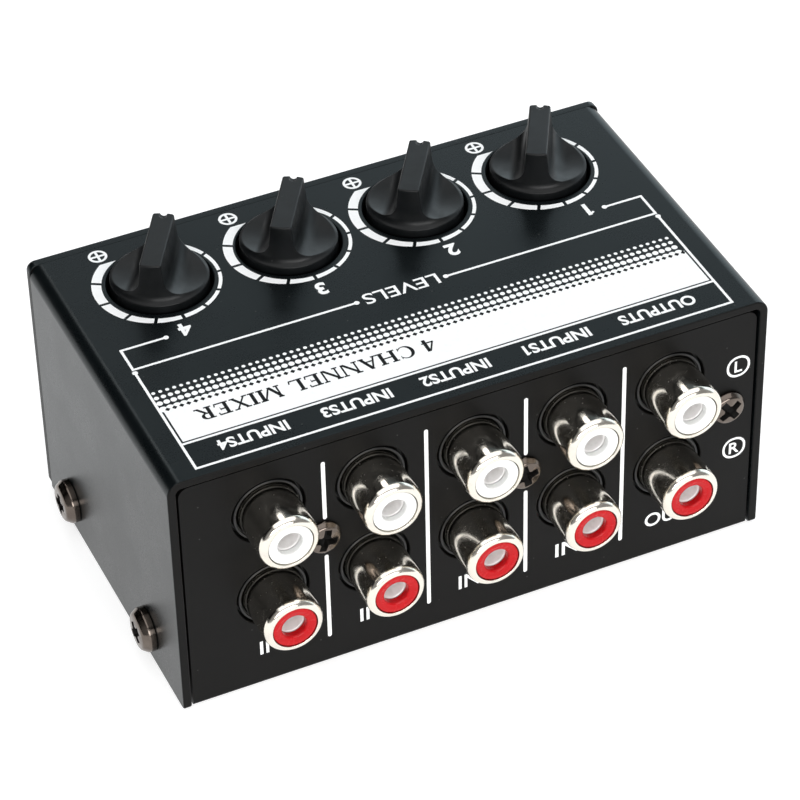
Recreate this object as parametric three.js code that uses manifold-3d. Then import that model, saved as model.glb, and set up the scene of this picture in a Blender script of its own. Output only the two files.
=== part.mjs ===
// A small four-channel passive line mixer: a folded sheet-metal box with four
// level knobs on top and ten phono sockets in its rear panel.
//
// Millimetres, +Z up. The origin is the centre of the underside, +X is to the
// user's right and +Y points to the rear panel. The knobs turn about +Z and
// stand at their minimum, pointing to seven o'clock.

import * as THREE from 'three';
import { mergeVertices } from 'three/addons/utils/BufferGeometryUtils.js';
import Module from 'manifold-3d';

const wasm = await Module();
wasm.setup();

// Box
const BOX_WIDTH = 84.5;
const BOX_DEPTH = 50;
const BOX_HEIGHT = 38.7;
const SHEET = 1.2;
const BEND_RADIUS = 2;
const INNER_BEND_RADIUS = BEND_RADIUS - SHEET;
const SKIN_GAP = 0.3;
const COVER_FRONT_Y = SHEET + SKIN_GAP - BOX_DEPTH / 2;
const SIDE_CORNER_RADIUS = 0.6;
const PANEL_CORNER_RADIUS = 1.5;
const FRONT_CORNER_RADIUS = 0.8;
const FLOOR_BEND_RADIUS = 0.5;
const FLANGE_HEIGHT = 9.7;
const FLANGE_LENGTH = 42;

// Chassis, folded inside the cover
const CHASSIS_WIDTH = BOX_WIDTH - 2 * (SHEET + SKIN_GAP);
const CHASSIS_HEIGHT = BOX_HEIGHT - SHEET - SKIN_GAP;
const PANEL_FACE_Y = BOX_DEPTH / 2 - SKIN_GAP;
const PANEL_BACK_Y = PANEL_FACE_Y - SHEET;
const FRONT_FACE_Y = -BOX_DEPTH / 2;

// Level controls
const KNOB_PITCH = 18.5;
const KNOB_ROW_X = -0.1;
const KNOB_ROW_Y = -13.6;
const KNOB_COUNT = 4;
const KNOB_POINTER_ANGLES = [-29, -33, -32, -31];
const KNOB_HOLE_RADIUS = 7.1;
const SKIRT_RADIUS = 6.6;
const SKIRT_DROP = 1.5;
const SKIRT_RISE = 0.8;
const HUB_RADIUS = 4.4;
const HUB_DROP = 6.7;
const GRIP_RADIUS = 6.05;
const GRIP_TOP_RADIUS = 5.65;
const GRIP_HEIGHT = 6.7;
const GRIP_WIDTH = 2.85;
const GRIP_FILLET = 2.6;
const POINTER_GROOVE_RADIUS = 0.45;
const POINTER_GROOVE_LENGTH = 1.1;

// Potentiometers on their own board
const SHAFT_RADIUS = 3;
const SHAFT_NECK_RADIUS = 2.4;
const SHAFT_RISE = 0;
const SHAFT_FIT = 0.3;
const BUSHING_RADIUS = 3.6;
const BUSHING_HEIGHT = 4.4;
const POT_WIDTH = 10.4;
const POT_DEPTH = 11.6;
const POT_HEIGHT = 11;
const POT_CHAMFER = 0.6;
const POT_PIN_PITCH = 2.5;
const BOARD_THICKNESS = 1.6;
const POT_BOARD_TOP = 15.7;
const POT_BOARD_FRONT = -22;
const POT_BOARD_REAR = -3;
const BOARD_WIDTH = 77;

// Phono sockets
const JACK_PITCH = 14.25;
const JACK_ROW_X = -28.15;
const JACK_ROWS = [15.15, 29.25];
const JACK_COLUMNS = 5;
const PANEL_HOLE_RADIUS = 5.05;
const COLLAR_RADIUS = 4.75;
const COLLAR_RECESS = 0.15;
const SHELL_RADIUS = 4.1;
const SHELL_WALL = 0.65;
const SHELL_REACH = 7.2;
const SHELL_ROOT = 3;
const LIP_RADIUS = 1;
const LIP_OPENING = 3.08;
const INSULATOR_RADIUS = 3;
const INSULATOR_SET_BACK = 0.1;
const DISH_RADIUS = 2.4;
const DISH_DEPTH = 0.25;
const PIN_HOLE_RADIUS = 1.7;
const CONTACT_SET_BACK = 1.3;
const CONTACT_RADIUS = 2.1;
const CONTACT_BORE = 1.55;
const CONTACT_FIT = 0.15;
const JACK_BOARD_TOP = 6.7;
const JACK_BOARD_FRONT = -8;
const JACK_BOARD_REAR = 22.4;
const BLOCK_BACK_Y = 10;
const BLOCK_TOP = 35.7;
const BLOCK_SIDE = 6.3;
const BLOCK_EDGE = 0.8;

// Screws
const PANEL_SCREW_Z = (JACK_ROWS[0] + JACK_ROWS[1]) / 2;
const OUT_SCREW_OFFSET = -8.7;
const PANEL_SCREW = { headRadius: 2.55, headHeight: 1.2, shankRadius: 1.25, length: 7 };
const SIDE_SCREW = { headRadius: 3.1, headHeight: 2, shankRadius: 1.4, length: 3.4 };
const SIDE_SCREW_ROW = [-14.5, 13.6];
const SIDE_SCREW_Z = 5.05;
const SCREW_SEAT = 0.05;
const SCREW_CLEARANCE = 0.3;
const CROSS_WIDTH = 0.95;
const CROSS_REACH = 0.68;
const CROSS_DEPTH = 0.75;

// Inside supports
const SPACER_X = 35.6;
const SPACER_ACROSS_FLATS = 5;
const SPACER_STUD_RADIUS = 1.2;
const HEADER_Y = -5.5;
const HEADER_PINS = 8;
const HEADER_PITCH = 2.54;
const HEADER_BAR = 2.5;
const HEADER_PIN = 0.64;

const SMALL = 12;
const MEDIUM = 16;
const LARGE = 24;

const materials = {
  coat: new THREE.MeshStandardMaterial({ color: 0x2b3134, roughness: 0.5, metalness: 0.1 }),
  panel: new THREE.MeshStandardMaterial({ color: 0x201e1d, roughness: 0.45, metalness: 0.1 }),
  knob: new THREE.MeshStandardMaterial({ color: 0x1b1d1f, roughness: 0.55, metalness: 0 }),
  nickel: new THREE.MeshStandardMaterial({ color: 0xd8d4cc, roughness: 0.12, metalness: 1 }),
  white: new THREE.MeshStandardMaterial({ color: 0xf4f4f1, roughness: 0.3, metalness: 0 }),
  red: new THREE.MeshStandardMaterial({ color: 0xc8141c, roughness: 0.3, metalness: 0 }),
  contact: new THREE.MeshStandardMaterial({ color: 0xb9b4a8, roughness: 0.3, metalness: 1 }),
  moulding: new THREE.MeshStandardMaterial({ color: 0x141414, roughness: 0.4, metalness: 0 }),
  screw: new THREE.MeshStandardMaterial({ color: 0x5a4c44, roughness: 0.3, metalness: 0.9 }),
  steel: new THREE.MeshStandardMaterial({ color: 0x9a9b9c, roughness: 0.35, metalness: 1 }),
  board: new THREE.MeshStandardMaterial({ color: 0x1d5a34, roughness: 0.5, metalness: 0 }),
};

// ---------------------------------------------------------------- solids

function toSolid(geometry) {
  const bare = geometry.clone();
  bare.deleteAttribute('normal');
  bare.deleteAttribute('uv');
  const merged = mergeVertices(bare, 1e-4);
  const corners = [];
  const index = merged.index.array;
  for (let i = 0; i < index.length; i += 3) {
    const [a, b, c] = [index[i], index[i + 1], index[i + 2]];
    if (a !== b && b !== c && a !== c) corners.push(a, b, c);
  }
  return new wasm.Manifold(new wasm.Mesh({
    numProp: 3,
    vertProperties: new Float32Array(merged.attributes.position.array),
    triVerts: new Uint32Array(corners),
  }));
}

function toGeometry(solid) {
  const mesh = solid.getMesh();
  const geometry = new THREE.BufferGeometry();
  geometry.setAttribute('position', new THREE.BufferAttribute(mesh.vertProperties, 3));
  geometry.setIndex(new THREE.BufferAttribute(mesh.triVerts, 1));
  return geometry;
}

function union(solids) {
  return solids.reduce((whole, solid) => whole.add(solid));
}

function cut(solid, tools) {
  return tools.reduce((rest, tool) => rest.subtract(tool), solid);
}

// A box from its lowest to its highest corner.
function block(low, high) {
  const size = high.map((value, axis) => value - low[axis]);
  const geometry = new THREE.BoxGeometry(...size);
  geometry.translate(...low.map((value, axis) => value + size[axis] / 2));
  return toSolid(geometry);
}

// A round bar along Z from bottom to top.
function rodZ(radius, x, y, bottom, top, segments) {
  const geometry = new THREE.CylinderGeometry(radius, radius, top - bottom, segments);
  geometry.rotateX(Math.PI / 2);
  geometry.translate(x, y, (bottom + top) / 2);
  return toSolid(geometry);
}

// A round bar along Y from front to rear.
function rodY(radius, x, z, front, rear, segments) {
  const geometry = new THREE.CylinderGeometry(radius, radius, rear - front, segments);
  geometry.translate(x, (front + rear) / 2, z);
  return toSolid(geometry);
}

// A round bar along X.
function rodX(radius, y, z, left, right, segments) {
  const geometry = new THREE.CylinderGeometry(radius, radius, right - left, segments);
  geometry.rotateZ(Math.PI / 2);
  geometry.translate((left + right) / 2, y, z);
  return toSolid(geometry);
}

// A solid of revolution about +Y from (radius, y) points that start and end on the axis.
function turned(points, segments) {
  const profile = points.map(([radius, y]) => new THREE.Vector2(radius, y));
  return toSolid(new THREE.LatheGeometry(profile, segments));
}

// Points of an arc in (radius, y), from one angle to another in degrees.
function arc(centreX, centreY, radius, from, to, steps) {
  return Array.from({ length: steps + 1 }, (_, i) => {
    const angle = THREE.MathUtils.degToRad(from + ((to - from) * i) / steps);
    return [centreX + radius * Math.cos(angle), centreY + radius * Math.sin(angle)];
  });
}

// A closed outline drawn in X and Z, pulled along Y from front to rear.
function extrudedAlongY(shape, front, rear) {
  const geometry = new THREE.ExtrudeGeometry(shape, {
    depth: rear - front,
    bevelEnabled: false,
    curveSegments: 6,
  });
  geometry.rotateX(Math.PI / 2);
  geometry.translate(0, rear, 0);
  return toSolid(geometry);
}

// A closed outline drawn in Y and Z, pulled along X from left to right.
function extrudedAlongX(shape, left, right) {
  const geometry = new THREE.ExtrudeGeometry(shape, {
    depth: right - left,
    bevelEnabled: false,
    curveSegments: 6,
  });
  geometry.rotateX(Math.PI / 2);
  geometry.rotateZ(Math.PI / 2);
  geometry.translate(left, 0, 0);
  return toSolid(geometry);
}

// An outline with every listed corner rounded: [x, y, radius] each.
function roundedOutline(corners) {
  const shape = new THREE.Shape();
  corners.forEach(([x, y, radius], i) => {
    const here = new THREE.Vector2(x, y);
    const before = cornerEnd(here, corners[(i + corners.length - 1) % corners.length], radius);
    const after = cornerEnd(here, corners[(i + 1) % corners.length], radius);
    if (i === 0) shape.moveTo(before.x, before.y);
    else shape.lineTo(before.x, before.y);
    if (radius > 0) shape.quadraticCurveTo(x, y, after.x, after.y);
  });
  shape.closePath();
  return shape;
}

function cornerEnd(corner, neighbour, radius) {
  const way = new THREE.Vector2(neighbour[0], neighbour[1]).sub(corner).normalize();
  return corner.clone().addScaledVector(way, radius);
}

const group = new THREE.Group();

function addPart(name, solid, material, parent = group) {
  const mesh = new THREE.Mesh(toGeometry(solid), material);
  mesh.name = name;
  parent.add(mesh);
  return mesh;
}

// ---------------------------------------------------------------- box

function knobX(index) {
  return KNOB_ROW_X + (index - (KNOB_COUNT - 1) / 2) * KNOB_PITCH;
}

function jackX(column) {
  return JACK_ROW_X + column * JACK_PITCH;
}

// Top and two sides, folded from one sheet; it butts on the front plate and is open below.
function makeCover() {
  const half = BOX_WIDTH / 2;
  const inner = half - SHEET;
  const ceiling = BOX_HEIGHT - SHEET;
  const section = roundedOutline([
    [-half, 0, 0], [-inner, 0, 0],
    [-inner, ceiling, INNER_BEND_RADIUS], [inner, ceiling, INNER_BEND_RADIUS],
    [inner, 0, 0], [half, 0, 0],
    [half, BOX_HEIGHT, BEND_RADIUS], [-half, BOX_HEIGHT, BEND_RADIUS],
  ]);
  const end = BOX_DEPTH / 2;
  const folded = extrudedAlongY(section, COVER_FRONT_Y, end);
  const outline = roundedOutline([
    [COVER_FRONT_Y, 0, SIDE_CORNER_RADIUS], [end, 0, SIDE_CORNER_RADIUS],
    [end, BOX_HEIGHT + SHEET, 0], [COVER_FRONT_Y, BOX_HEIGHT + SHEET, 0],
  ]);
  const trimmed = folded.intersect(extrudedAlongX(outline, -BOX_WIDTH, BOX_WIDTH));
  return cut(trimmed, [...knobHoles(), ...sideScrewHoles(half + SHEET)]);
}

function knobHoles() {
  return Array.from({ length: KNOB_COUNT }, (_, i) =>
    rodZ(KNOB_HOLE_RADIUS, knobX(i), KNOB_ROW_Y, BOX_HEIGHT - 2 * SHEET, BOX_HEIGHT + SHEET, LARGE));
}

function sideScrewHoles(reach) {
  const radius = SIDE_SCREW.shankRadius + SCREW_CLEARANCE;
  return SIDE_SCREW_ROW.map((y) =>
    rodX(radius, y, SIDE_SCREW_Z, -reach, reach, SMALL));
}

// Rear panel, floor and front panel folded from one sheet, with two side flanges.
// The front panel is as large as the box and closes the cover's front edge.
function makeChassis() {
  const [rearIn, rearOut] = [PANEL_BACK_Y, PANEL_FACE_Y];
  const [frontIn, frontOut] = [FRONT_FACE_Y + SHEET, FRONT_FACE_Y];
  const section = roundedOutline([
    [frontOut, 0, FLOOR_BEND_RADIUS], [rearOut, 0, FLOOR_BEND_RADIUS], [rearOut, CHASSIS_HEIGHT, 0],
    [rearIn, CHASSIS_HEIGHT, 0], [rearIn, SHEET, 0], [frontIn, SHEET, 0],
    [frontIn, CHASSIS_HEIGHT, 0], [frontOut, CHASSIS_HEIGHT, 0],
  ]);
  const half = CHASSIS_WIDTH / 2;
  const folded = extrudedAlongX(section, -half, half);
  const outline = roundedOutline([
    [-half, -SHEET, 0], [half, -SHEET, 0],
    [half, CHASSIS_HEIGHT, PANEL_CORNER_RADIUS], [-half, CHASSIS_HEIGHT, PANEL_CORNER_RADIUS],
  ]);
  const trimmed = folded.intersect(extrudedAlongY(outline, -BOX_DEPTH, BOX_DEPTH));
  const flanged = union([trimmed, makeFrontPlate(), ...[-1, 1].map(makeFlange)]);
  return cut(flanged, [
    ...panelHoles(), ...sideScrewHoles(half + SHEET), ...spacerHoles(-SHEET, 2 * SHEET),
  ]);
}

function makeFrontPlate() {
  const half = BOX_WIDTH / 2;
  const corner = FRONT_CORNER_RADIUS;
  const outline = roundedOutline([
    [-half, FLOOR_BEND_RADIUS, corner], [half, FLOOR_BEND_RADIUS, corner],
    [half, BOX_HEIGHT, corner], [-half, BOX_HEIGHT, corner],
  ]);
  return extrudedAlongY(outline, FRONT_FACE_Y, FRONT_FACE_Y + SHEET);
}

function makeFlange(side) {
  const outer = (side * CHASSIS_WIDTH) / 2;
  const inner = outer - side * SHEET;
  const [left, right] = [Math.min(inner, outer), Math.max(inner, outer)];
  return block([left, -FLANGE_LENGTH / 2, SHEET / 2], [right, FLANGE_LENGTH / 2, FLANGE_HEIGHT]);
}

function panelHoles() {
  const front = PANEL_BACK_Y - SHEET;
  const rear = PANEL_FACE_Y + SHEET;
  const holes = panelScrewX().map((x) =>
    rodY(PANEL_SCREW.shankRadius + SCREW_CLEARANCE, x, PANEL_SCREW_Z, front, rear, SMALL));
  for (let column = 0; column < JACK_COLUMNS; column += 1) {
    for (const z of JACK_ROWS) holes.push(rodY(PANEL_HOLE_RADIUS, jackX(column), z, front, rear, MEDIUM));
  }
  return holes;
}

function panelScrewX() {
  return [jackX(0) + OUT_SCREW_OFFSET, jackX(1) + JACK_PITCH / 2, jackX(3) + JACK_PITCH / 2];
}

// ---------------------------------------------------------------- knobs and potentiometers

// The side of the grip: a steep wall that runs out into the skirt through a fillet.
function gripSideCutter(side) {
  const wall = GRIP_WIDTH / 2;
  const foot = wall + 0.25;
  const floor = SKIRT_RISE + 0.15;
  const reach = SKIRT_RADIUS + 1;
  const top = GRIP_HEIGHT + 1;
  const shape = new THREE.Shape();
  shape.moveTo(side * wall, top);
  shape.lineTo(side * wall, GRIP_HEIGHT);
  shape.lineTo(side * foot, floor + GRIP_FILLET);
  shape.quadraticCurveTo(side * (foot + 0.1), floor + 0.2, side * (foot + GRIP_FILLET), floor);
  shape.lineTo(side * reach, floor - 0.1);
  shape.lineTo(side * reach, top);
  shape.closePath();
  return extrudedAlongY(shape, -reach, reach);
}

// A skirted knob with a bar grip, its groove marking the pointer at -Y, and a bored hub below.
function makeKnob() {
  const body = turned([
    [0, -HUB_DROP], [HUB_RADIUS, -HUB_DROP], [HUB_RADIUS, -SKIRT_DROP], [SKIRT_RADIUS, -SKIRT_DROP],
    [SKIRT_RADIUS, SKIRT_RISE - 0.25], [SKIRT_RADIUS - 0.25, SKIRT_RISE],
    [GRIP_RADIUS, SKIRT_RISE + 0.05], [GRIP_RADIUS - 0.15, SKIRT_RISE + 1],
    [GRIP_TOP_RADIUS, GRIP_HEIGHT - 0.2], [GRIP_TOP_RADIUS - 0.2, GRIP_HEIGHT], [0, GRIP_HEIGHT],
  ], LARGE);
  const upright = body.rotate([90, 0, 0]);
  const groove = rodY(POINTER_GROOVE_RADIUS, 0, GRIP_HEIGHT,
    -SKIRT_RADIUS, POINTER_GROOVE_LENGTH - GRIP_TOP_RADIUS, 8);
  const bore = rodZ(SHAFT_RADIUS + SHAFT_FIT, 0, 0,
    -HUB_DROP - 1, SHAFT_RISE + SHAFT_FIT, SMALL);
  return cut(upright, [gripSideCutter(-1), gripSideCutter(1), groove, bore]);
}

// Shaft with a screwdriver slot, narrower where it runs in the bushing.
function makeShaft() {
  const shoulder = POT_BOARD_TOP + SKIN_GAP + POT_HEIGHT + BUSHING_HEIGHT + SHAFT_FIT - BOX_HEIGHT;
  const foot = shoulder - SHAFT_FIT - BUSHING_HEIGHT - 3;
  const body = turned([
    [0, foot], [SHAFT_NECK_RADIUS, foot], [SHAFT_NECK_RADIUS, shoulder],
    [SHAFT_RADIUS, shoulder], [SHAFT_RADIUS, SHAFT_RISE - 0.3],
    [SHAFT_RADIUS - 0.3, SHAFT_RISE], [0, SHAFT_RISE],
  ], SMALL);
  const slot = block([-SHAFT_RADIUS - 1, -0.5, SHAFT_RISE - 2], [SHAFT_RADIUS + 1, 0.5, SHAFT_RISE + 1]);
  return body.rotate([90, 0, 0]).subtract(slot);
}

// Two-gang potentiometer case with its threaded bushing and a row of pins.
function makePotBody(x) {
  const bottom = POT_BOARD_TOP + SKIN_GAP;
  const top = bottom + POT_HEIGHT;
  const [halfW, halfD] = [POT_WIDTH / 2, POT_DEPTH / 2];
  const outline = roundedOutline([
    [x - halfW, bottom, POT_CHAMFER], [x + halfW, bottom, POT_CHAMFER],
    [x + halfW, top, POT_CHAMFER], [x - halfW, top, POT_CHAMFER],
  ]);
  const shell = extrudedAlongY(outline, KNOB_ROW_Y - halfD, KNOB_ROW_Y + halfD);
  const bushing = rodZ(BUSHING_RADIUS, x, KNOB_ROW_Y, top - 0.5, top + BUSHING_HEIGHT, SMALL);
  const bore = rodZ(SHAFT_NECK_RADIUS + SHAFT_FIT, x, KNOB_ROW_Y,
    top - 3 - SHAFT_FIT, top + BUSHING_HEIGHT + 1, SMALL);
  return cut(union([shell, bushing, ...potPins(x, bottom)]), [bore]);
}

function potPins(x, bottom) {
  const y = KNOB_ROW_Y + POT_DEPTH / 2 - 1.5;
  return [-1, 0, 1].map((step) => block(
    [x + step * POT_PIN_PITCH - 0.4, y - 0.2, bottom - BOARD_THICKNESS - 1.5],
    [x + step * POT_PIN_PITCH + 0.4, y + 0.2, bottom + 0.5]));
}

// ---------------------------------------------------------------- phono sockets

// Plastic block that carries the sockets at the given columns and takes one panel screw.
function makeJackBlock(columns, screwX) {
  const front = PANEL_BACK_Y - SKIN_GAP;
  const left = jackX(columns[0]) - BLOCK_SIDE;
  const right = jackX(columns[columns.length - 1]) + BLOCK_SIDE;
  const bottom = JACK_BOARD_TOP + SKIN_GAP;
  const outline = roundedOutline([
    [left, bottom, BLOCK_EDGE], [right, bottom, BLOCK_EDGE],
    [right, BLOCK_TOP, BLOCK_EDGE], [left, BLOCK_TOP, BLOCK_EDGE],
  ]);
  const solids = [extrudedAlongY(outline, BLOCK_BACK_Y, front)];
  const bossLeft = Math.min(screwX - 3, left + 1);
  solids.push(block([bossLeft, BLOCK_BACK_Y + 4, PANEL_SCREW_Z - 3], [left + 2, front, PANEL_SCREW_Z + 3]));
  const tools = [rodY(PANEL_SCREW.shankRadius + SCREW_CLEARANCE, screwX, PANEL_SCREW_Z,
    BLOCK_BACK_Y + 3, front + 1, SMALL)];
  for (const column of columns) {
    for (const z of JACK_ROWS) {
      solids.push(rodY(COLLAR_RADIUS, jackX(column), z, front - 1, PANEL_FACE_Y - COLLAR_RECESS, MEDIUM));
      tools.push(rodY(SHELL_RADIUS + 0.2, jackX(column), z, shellRootY() - SKIN_GAP, PANEL_FACE_Y, MEDIUM));
      tools.push(rodY(CONTACT_RADIUS + SKIN_GAP, jackX(column), z, BLOCK_BACK_Y + 2, PANEL_FACE_Y, SMALL));
    }
  }
  return cut(union(solids), tools);
}

function shellRootY() {
  return PANEL_BACK_Y - SHELL_ROOT;
}

// Plated sleeve with a rolled lip, open at both ends.
function makeShell(root) {
  const front = PANEL_FACE_Y + SHELL_REACH;
  const bore = SHELL_RADIUS - SHELL_WALL;
  const lip = arc(SHELL_RADIUS - LIP_RADIUS, front - LIP_RADIUS, LIP_RADIUS, 0, 90, 2);
  const profile = [
    [bore, root], [SHELL_RADIUS, root], ...lip,
    [LIP_OPENING, front - 0.9], [bore, front - 1.2], [bore, root],
  ];
  return turned(profile, MEDIUM);
}

// Moulded insulator with a dished face and the pin hole, wider behind for the contact.
function makeInsulator(root) {
  const face = PANEL_FACE_Y + SHELL_REACH - INSULATOR_SET_BACK;
  const contactFront = face - CONTACT_SET_BACK;
  const pocket = CONTACT_RADIUS + CONTACT_FIT;
  return turned([
    [pocket, root], [INSULATOR_RADIUS, root], [INSULATOR_RADIUS, face], [DISH_RADIUS, face],
    [DISH_RADIUS - 0.2, face - DISH_DEPTH], [PIN_HOLE_RADIUS, face - DISH_DEPTH - 0.1],
    [PIN_HOLE_RADIUS, contactFront + CONTACT_FIT], [pocket, contactFront + CONTACT_FIT],
    [pocket, root],
  ], SMALL);
}

// Tubular centre contact, closed at its inner end.
function makeContact(root) {
  const front = PANEL_FACE_Y + SHELL_REACH - INSULATOR_SET_BACK - CONTACT_SET_BACK;
  return turned([
    [0, root], [CONTACT_RADIUS, root], [CONTACT_RADIUS, front], [CONTACT_BORE, front],
    [CONTACT_BORE, root + 1], [0, root + 1],
  ], SMALL);
}

// ---------------------------------------------------------------- screws, boards and supports

// A domed cross-head screw standing along +Y, its seat at the origin.
function makeScrew({ headRadius, headHeight, shankRadius, length }) {
  const dome = headRadius - 0.1;
  const crown = arc(0, 0, 1, 25, 70, 2).map(([x, y]) => [x * dome * 1.04, y * headHeight]);
  const body = turned([
    [0, -length], [shankRadius * 0.5, -length], [shankRadius, 0.8 - length], [shankRadius, 0],
    [headRadius, 0], [headRadius, headHeight * 0.3], ...crown, [0, headHeight],
  ], SMALL);
  const reach = headRadius * CROSS_REACH;
  const half = CROSS_WIDTH / 2;
  const floor = headHeight * (1 - CROSS_DEPTH);
  return cut(body, [
    block([-reach, floor, -half], [reach, headHeight + 1, half]),
    block([-half, floor, -reach], [half, headHeight + 1, reach]),
  ]);
}

function spacerHoles(bottom, top) {
  const radius = SPACER_STUD_RADIUS + SCREW_CLEARANCE;
  return [-SPACER_X, SPACER_X].map((x) => rodZ(radius, x, KNOB_ROW_Y, bottom, top, SMALL));
}

function headerPinX(index) {
  return (index - (HEADER_PINS - 1) / 2) * HEADER_PITCH;
}

function headerHoles(bottom, top) {
  const half = HEADER_PIN / 2 + SCREW_CLEARANCE;
  return Array.from({ length: HEADER_PINS }, (_, i) => block(
    [headerPinX(i) - half, HEADER_Y - half, bottom], [headerPinX(i) + half, HEADER_Y + half, top]));
}

function makeJackBoard() {
  const bottom = JACK_BOARD_TOP - BOARD_THICKNESS;
  const plate = block(
    [-BOARD_WIDTH / 2, JACK_BOARD_FRONT, bottom], [BOARD_WIDTH / 2, JACK_BOARD_REAR, JACK_BOARD_TOP]);
  return cut(plate, headerHoles(bottom - 1, JACK_BOARD_TOP + 1));
}

function makePotBoard() {
  const bottom = POT_BOARD_TOP - BOARD_THICKNESS;
  const plate = block(
    [-BOARD_WIDTH / 2, POT_BOARD_FRONT, bottom], [BOARD_WIDTH / 2, POT_BOARD_REAR, POT_BOARD_TOP]);
  const y = KNOB_ROW_Y + POT_DEPTH / 2 - 1.5;
  const reach = POT_PIN_PITCH + 0.8;
  const slots = Array.from({ length: KNOB_COUNT }, (_, i) => block(
    [knobX(i) - reach, y - 0.6, bottom - 1], [knobX(i) + reach, y + 0.6, POT_BOARD_TOP + 1]));
  return cut(plate, [
    ...slots, ...headerHoles(bottom - 1, POT_BOARD_TOP + 1), ...spacerHoles(bottom - 1, POT_BOARD_TOP + 1),
  ]);
}

// Hexagonal post from the floor to the potentiometer board, with a stud at each end.
function makeSpacer(x) {
  const bottom = SHEET + SKIN_GAP;
  const top = POT_BOARD_TOP - BOARD_THICKNESS - SKIN_GAP;
  const hexRadius = SPACER_ACROSS_FLATS / Math.sqrt(3);
  return union([
    rodZ(hexRadius, x, KNOB_ROW_Y, bottom, top, 6),
    rodZ(SPACER_STUD_RADIUS, x, KNOB_ROW_Y, SKIN_GAP, top + BOARD_THICKNESS + 2, SMALL),
  ]);
}

// Two plastic bars joined by the pins that link the boards.
function makeHeader() {
  const bottom = JACK_BOARD_TOP + SKIN_GAP;
  const top = POT_BOARD_TOP - BOARD_THICKNESS - SKIN_GAP;
  const halfLength = (HEADER_PINS * HEADER_PITCH) / 2;
  const [front, rear] = [HEADER_Y - HEADER_BAR / 2, HEADER_Y + HEADER_BAR / 2];
  const solids = [
    block([-halfLength, front, bottom], [halfLength, rear, bottom + HEADER_BAR]),
    block([-halfLength, front, top - HEADER_BAR], [halfLength, rear, top]),
  ];
  const half = HEADER_PIN / 2;
  for (let i = 0; i < HEADER_PINS; i += 1) {
    solids.push(block(
      [headerPinX(i) - half, HEADER_Y - half, bottom - BOARD_THICKNESS - 1.2],
      [headerPinX(i) + half, HEADER_Y + half, top + BOARD_THICKNESS + 1.2]));
  }
  return union(solids);
}

// ---------------------------------------------------------------- assembly

addPart('top_cover', makeCover(), materials.coat);
addPart('chassis', makeChassis(), materials.panel);

const knob = makeKnob();
const shaft = makeShaft();
for (let i = 0; i < KNOB_COUNT; i += 1) {
  const turning = new THREE.Group();
  turning.position.set(knobX(i), KNOB_ROW_Y, BOX_HEIGHT);
  turning.rotation.z = THREE.MathUtils.degToRad(KNOB_POINTER_ANGLES[i]);
  addPart(`knob_${i + 1}`, knob, materials.knob, turning);
  addPart(`pot_shaft_${i + 1}`, shaft, materials.steel, turning);
  group.add(turning);
  addPart(`pot_body_${i + 1}`, makePotBody(knobX(i)), materials.steel);
}

const [outScrew, firstScrew, secondScrew] = panelScrewX();
addPart('jack_block_out', makeJackBlock([0], outScrew), materials.moulding);
addPart('jack_block_12', makeJackBlock([1, 2], firstScrew), materials.moulding);
addPart('jack_block_34', makeJackBlock([3, 4], secondScrew), materials.moulding);

const root = shellRootY();
const shell = makeShell(root);
const insulator = makeInsulator(root + SKIN_GAP);
const contact = makeContact(root);
const columnNames = ['out', 'in_1', 'in_2', 'in_3', 'in_4'];
const rowNames = ['right', 'left'];
columnNames.forEach((columnName, column) => {
  JACK_ROWS.forEach((z, row) => {
    const socket = new THREE.Group();
    socket.position.set(jackX(column), 0, z);
    const label = `${columnName}_${rowNames[row]}`;
    addPart(`jack_shell_${label}`, shell, materials.nickel, socket);
    addPart(`jack_insulator_${label}`, insulator, row ? materials.white : materials.red, socket);
    addPart(`jack_contact_${label}`, contact, materials.contact, socket);
    group.add(socket);
  });
});

const panelScrew = makeScrew(PANEL_SCREW);
panelScrewX().forEach((x, i) => {
  const screw = addPart(`panel_screw_${i + 1}`, panelScrew, materials.screw);
  screw.position.set(x, PANEL_FACE_Y + SCREW_SEAT, PANEL_SCREW_Z);
});

const sideScrew = makeScrew(SIDE_SCREW);
for (const side of [-1, 1]) {
  for (const y of SIDE_SCREW_ROW) {
    const name = `side_screw_${side > 0 ? 'right' : 'left'}_${y > 0 ? 'rear' : 'front'}`;
    const screw = addPart(name, sideScrew, materials.screw);
    screw.rotation.z = (-side * Math.PI) / 2;
    screw.position.set(side * (BOX_WIDTH / 2 + SCREW_SEAT), y, SIDE_SCREW_Z);
  }
}

addPart('jack_board', makeJackBoard(), materials.board);
addPart('pot_board', makePotBoard(), materials.board);
addPart('board_header', makeHeader(), materials.moulding);
addPart('board_spacer_left', makeSpacer(-SPACER_X), materials.steel);
addPart('board_spacer_right', makeSpacer(SPACER_X), materials.steel);

export default group;
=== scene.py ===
import math

import bmesh
import bpy
import numpy as np
from mathutils import Matrix, Vector


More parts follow.
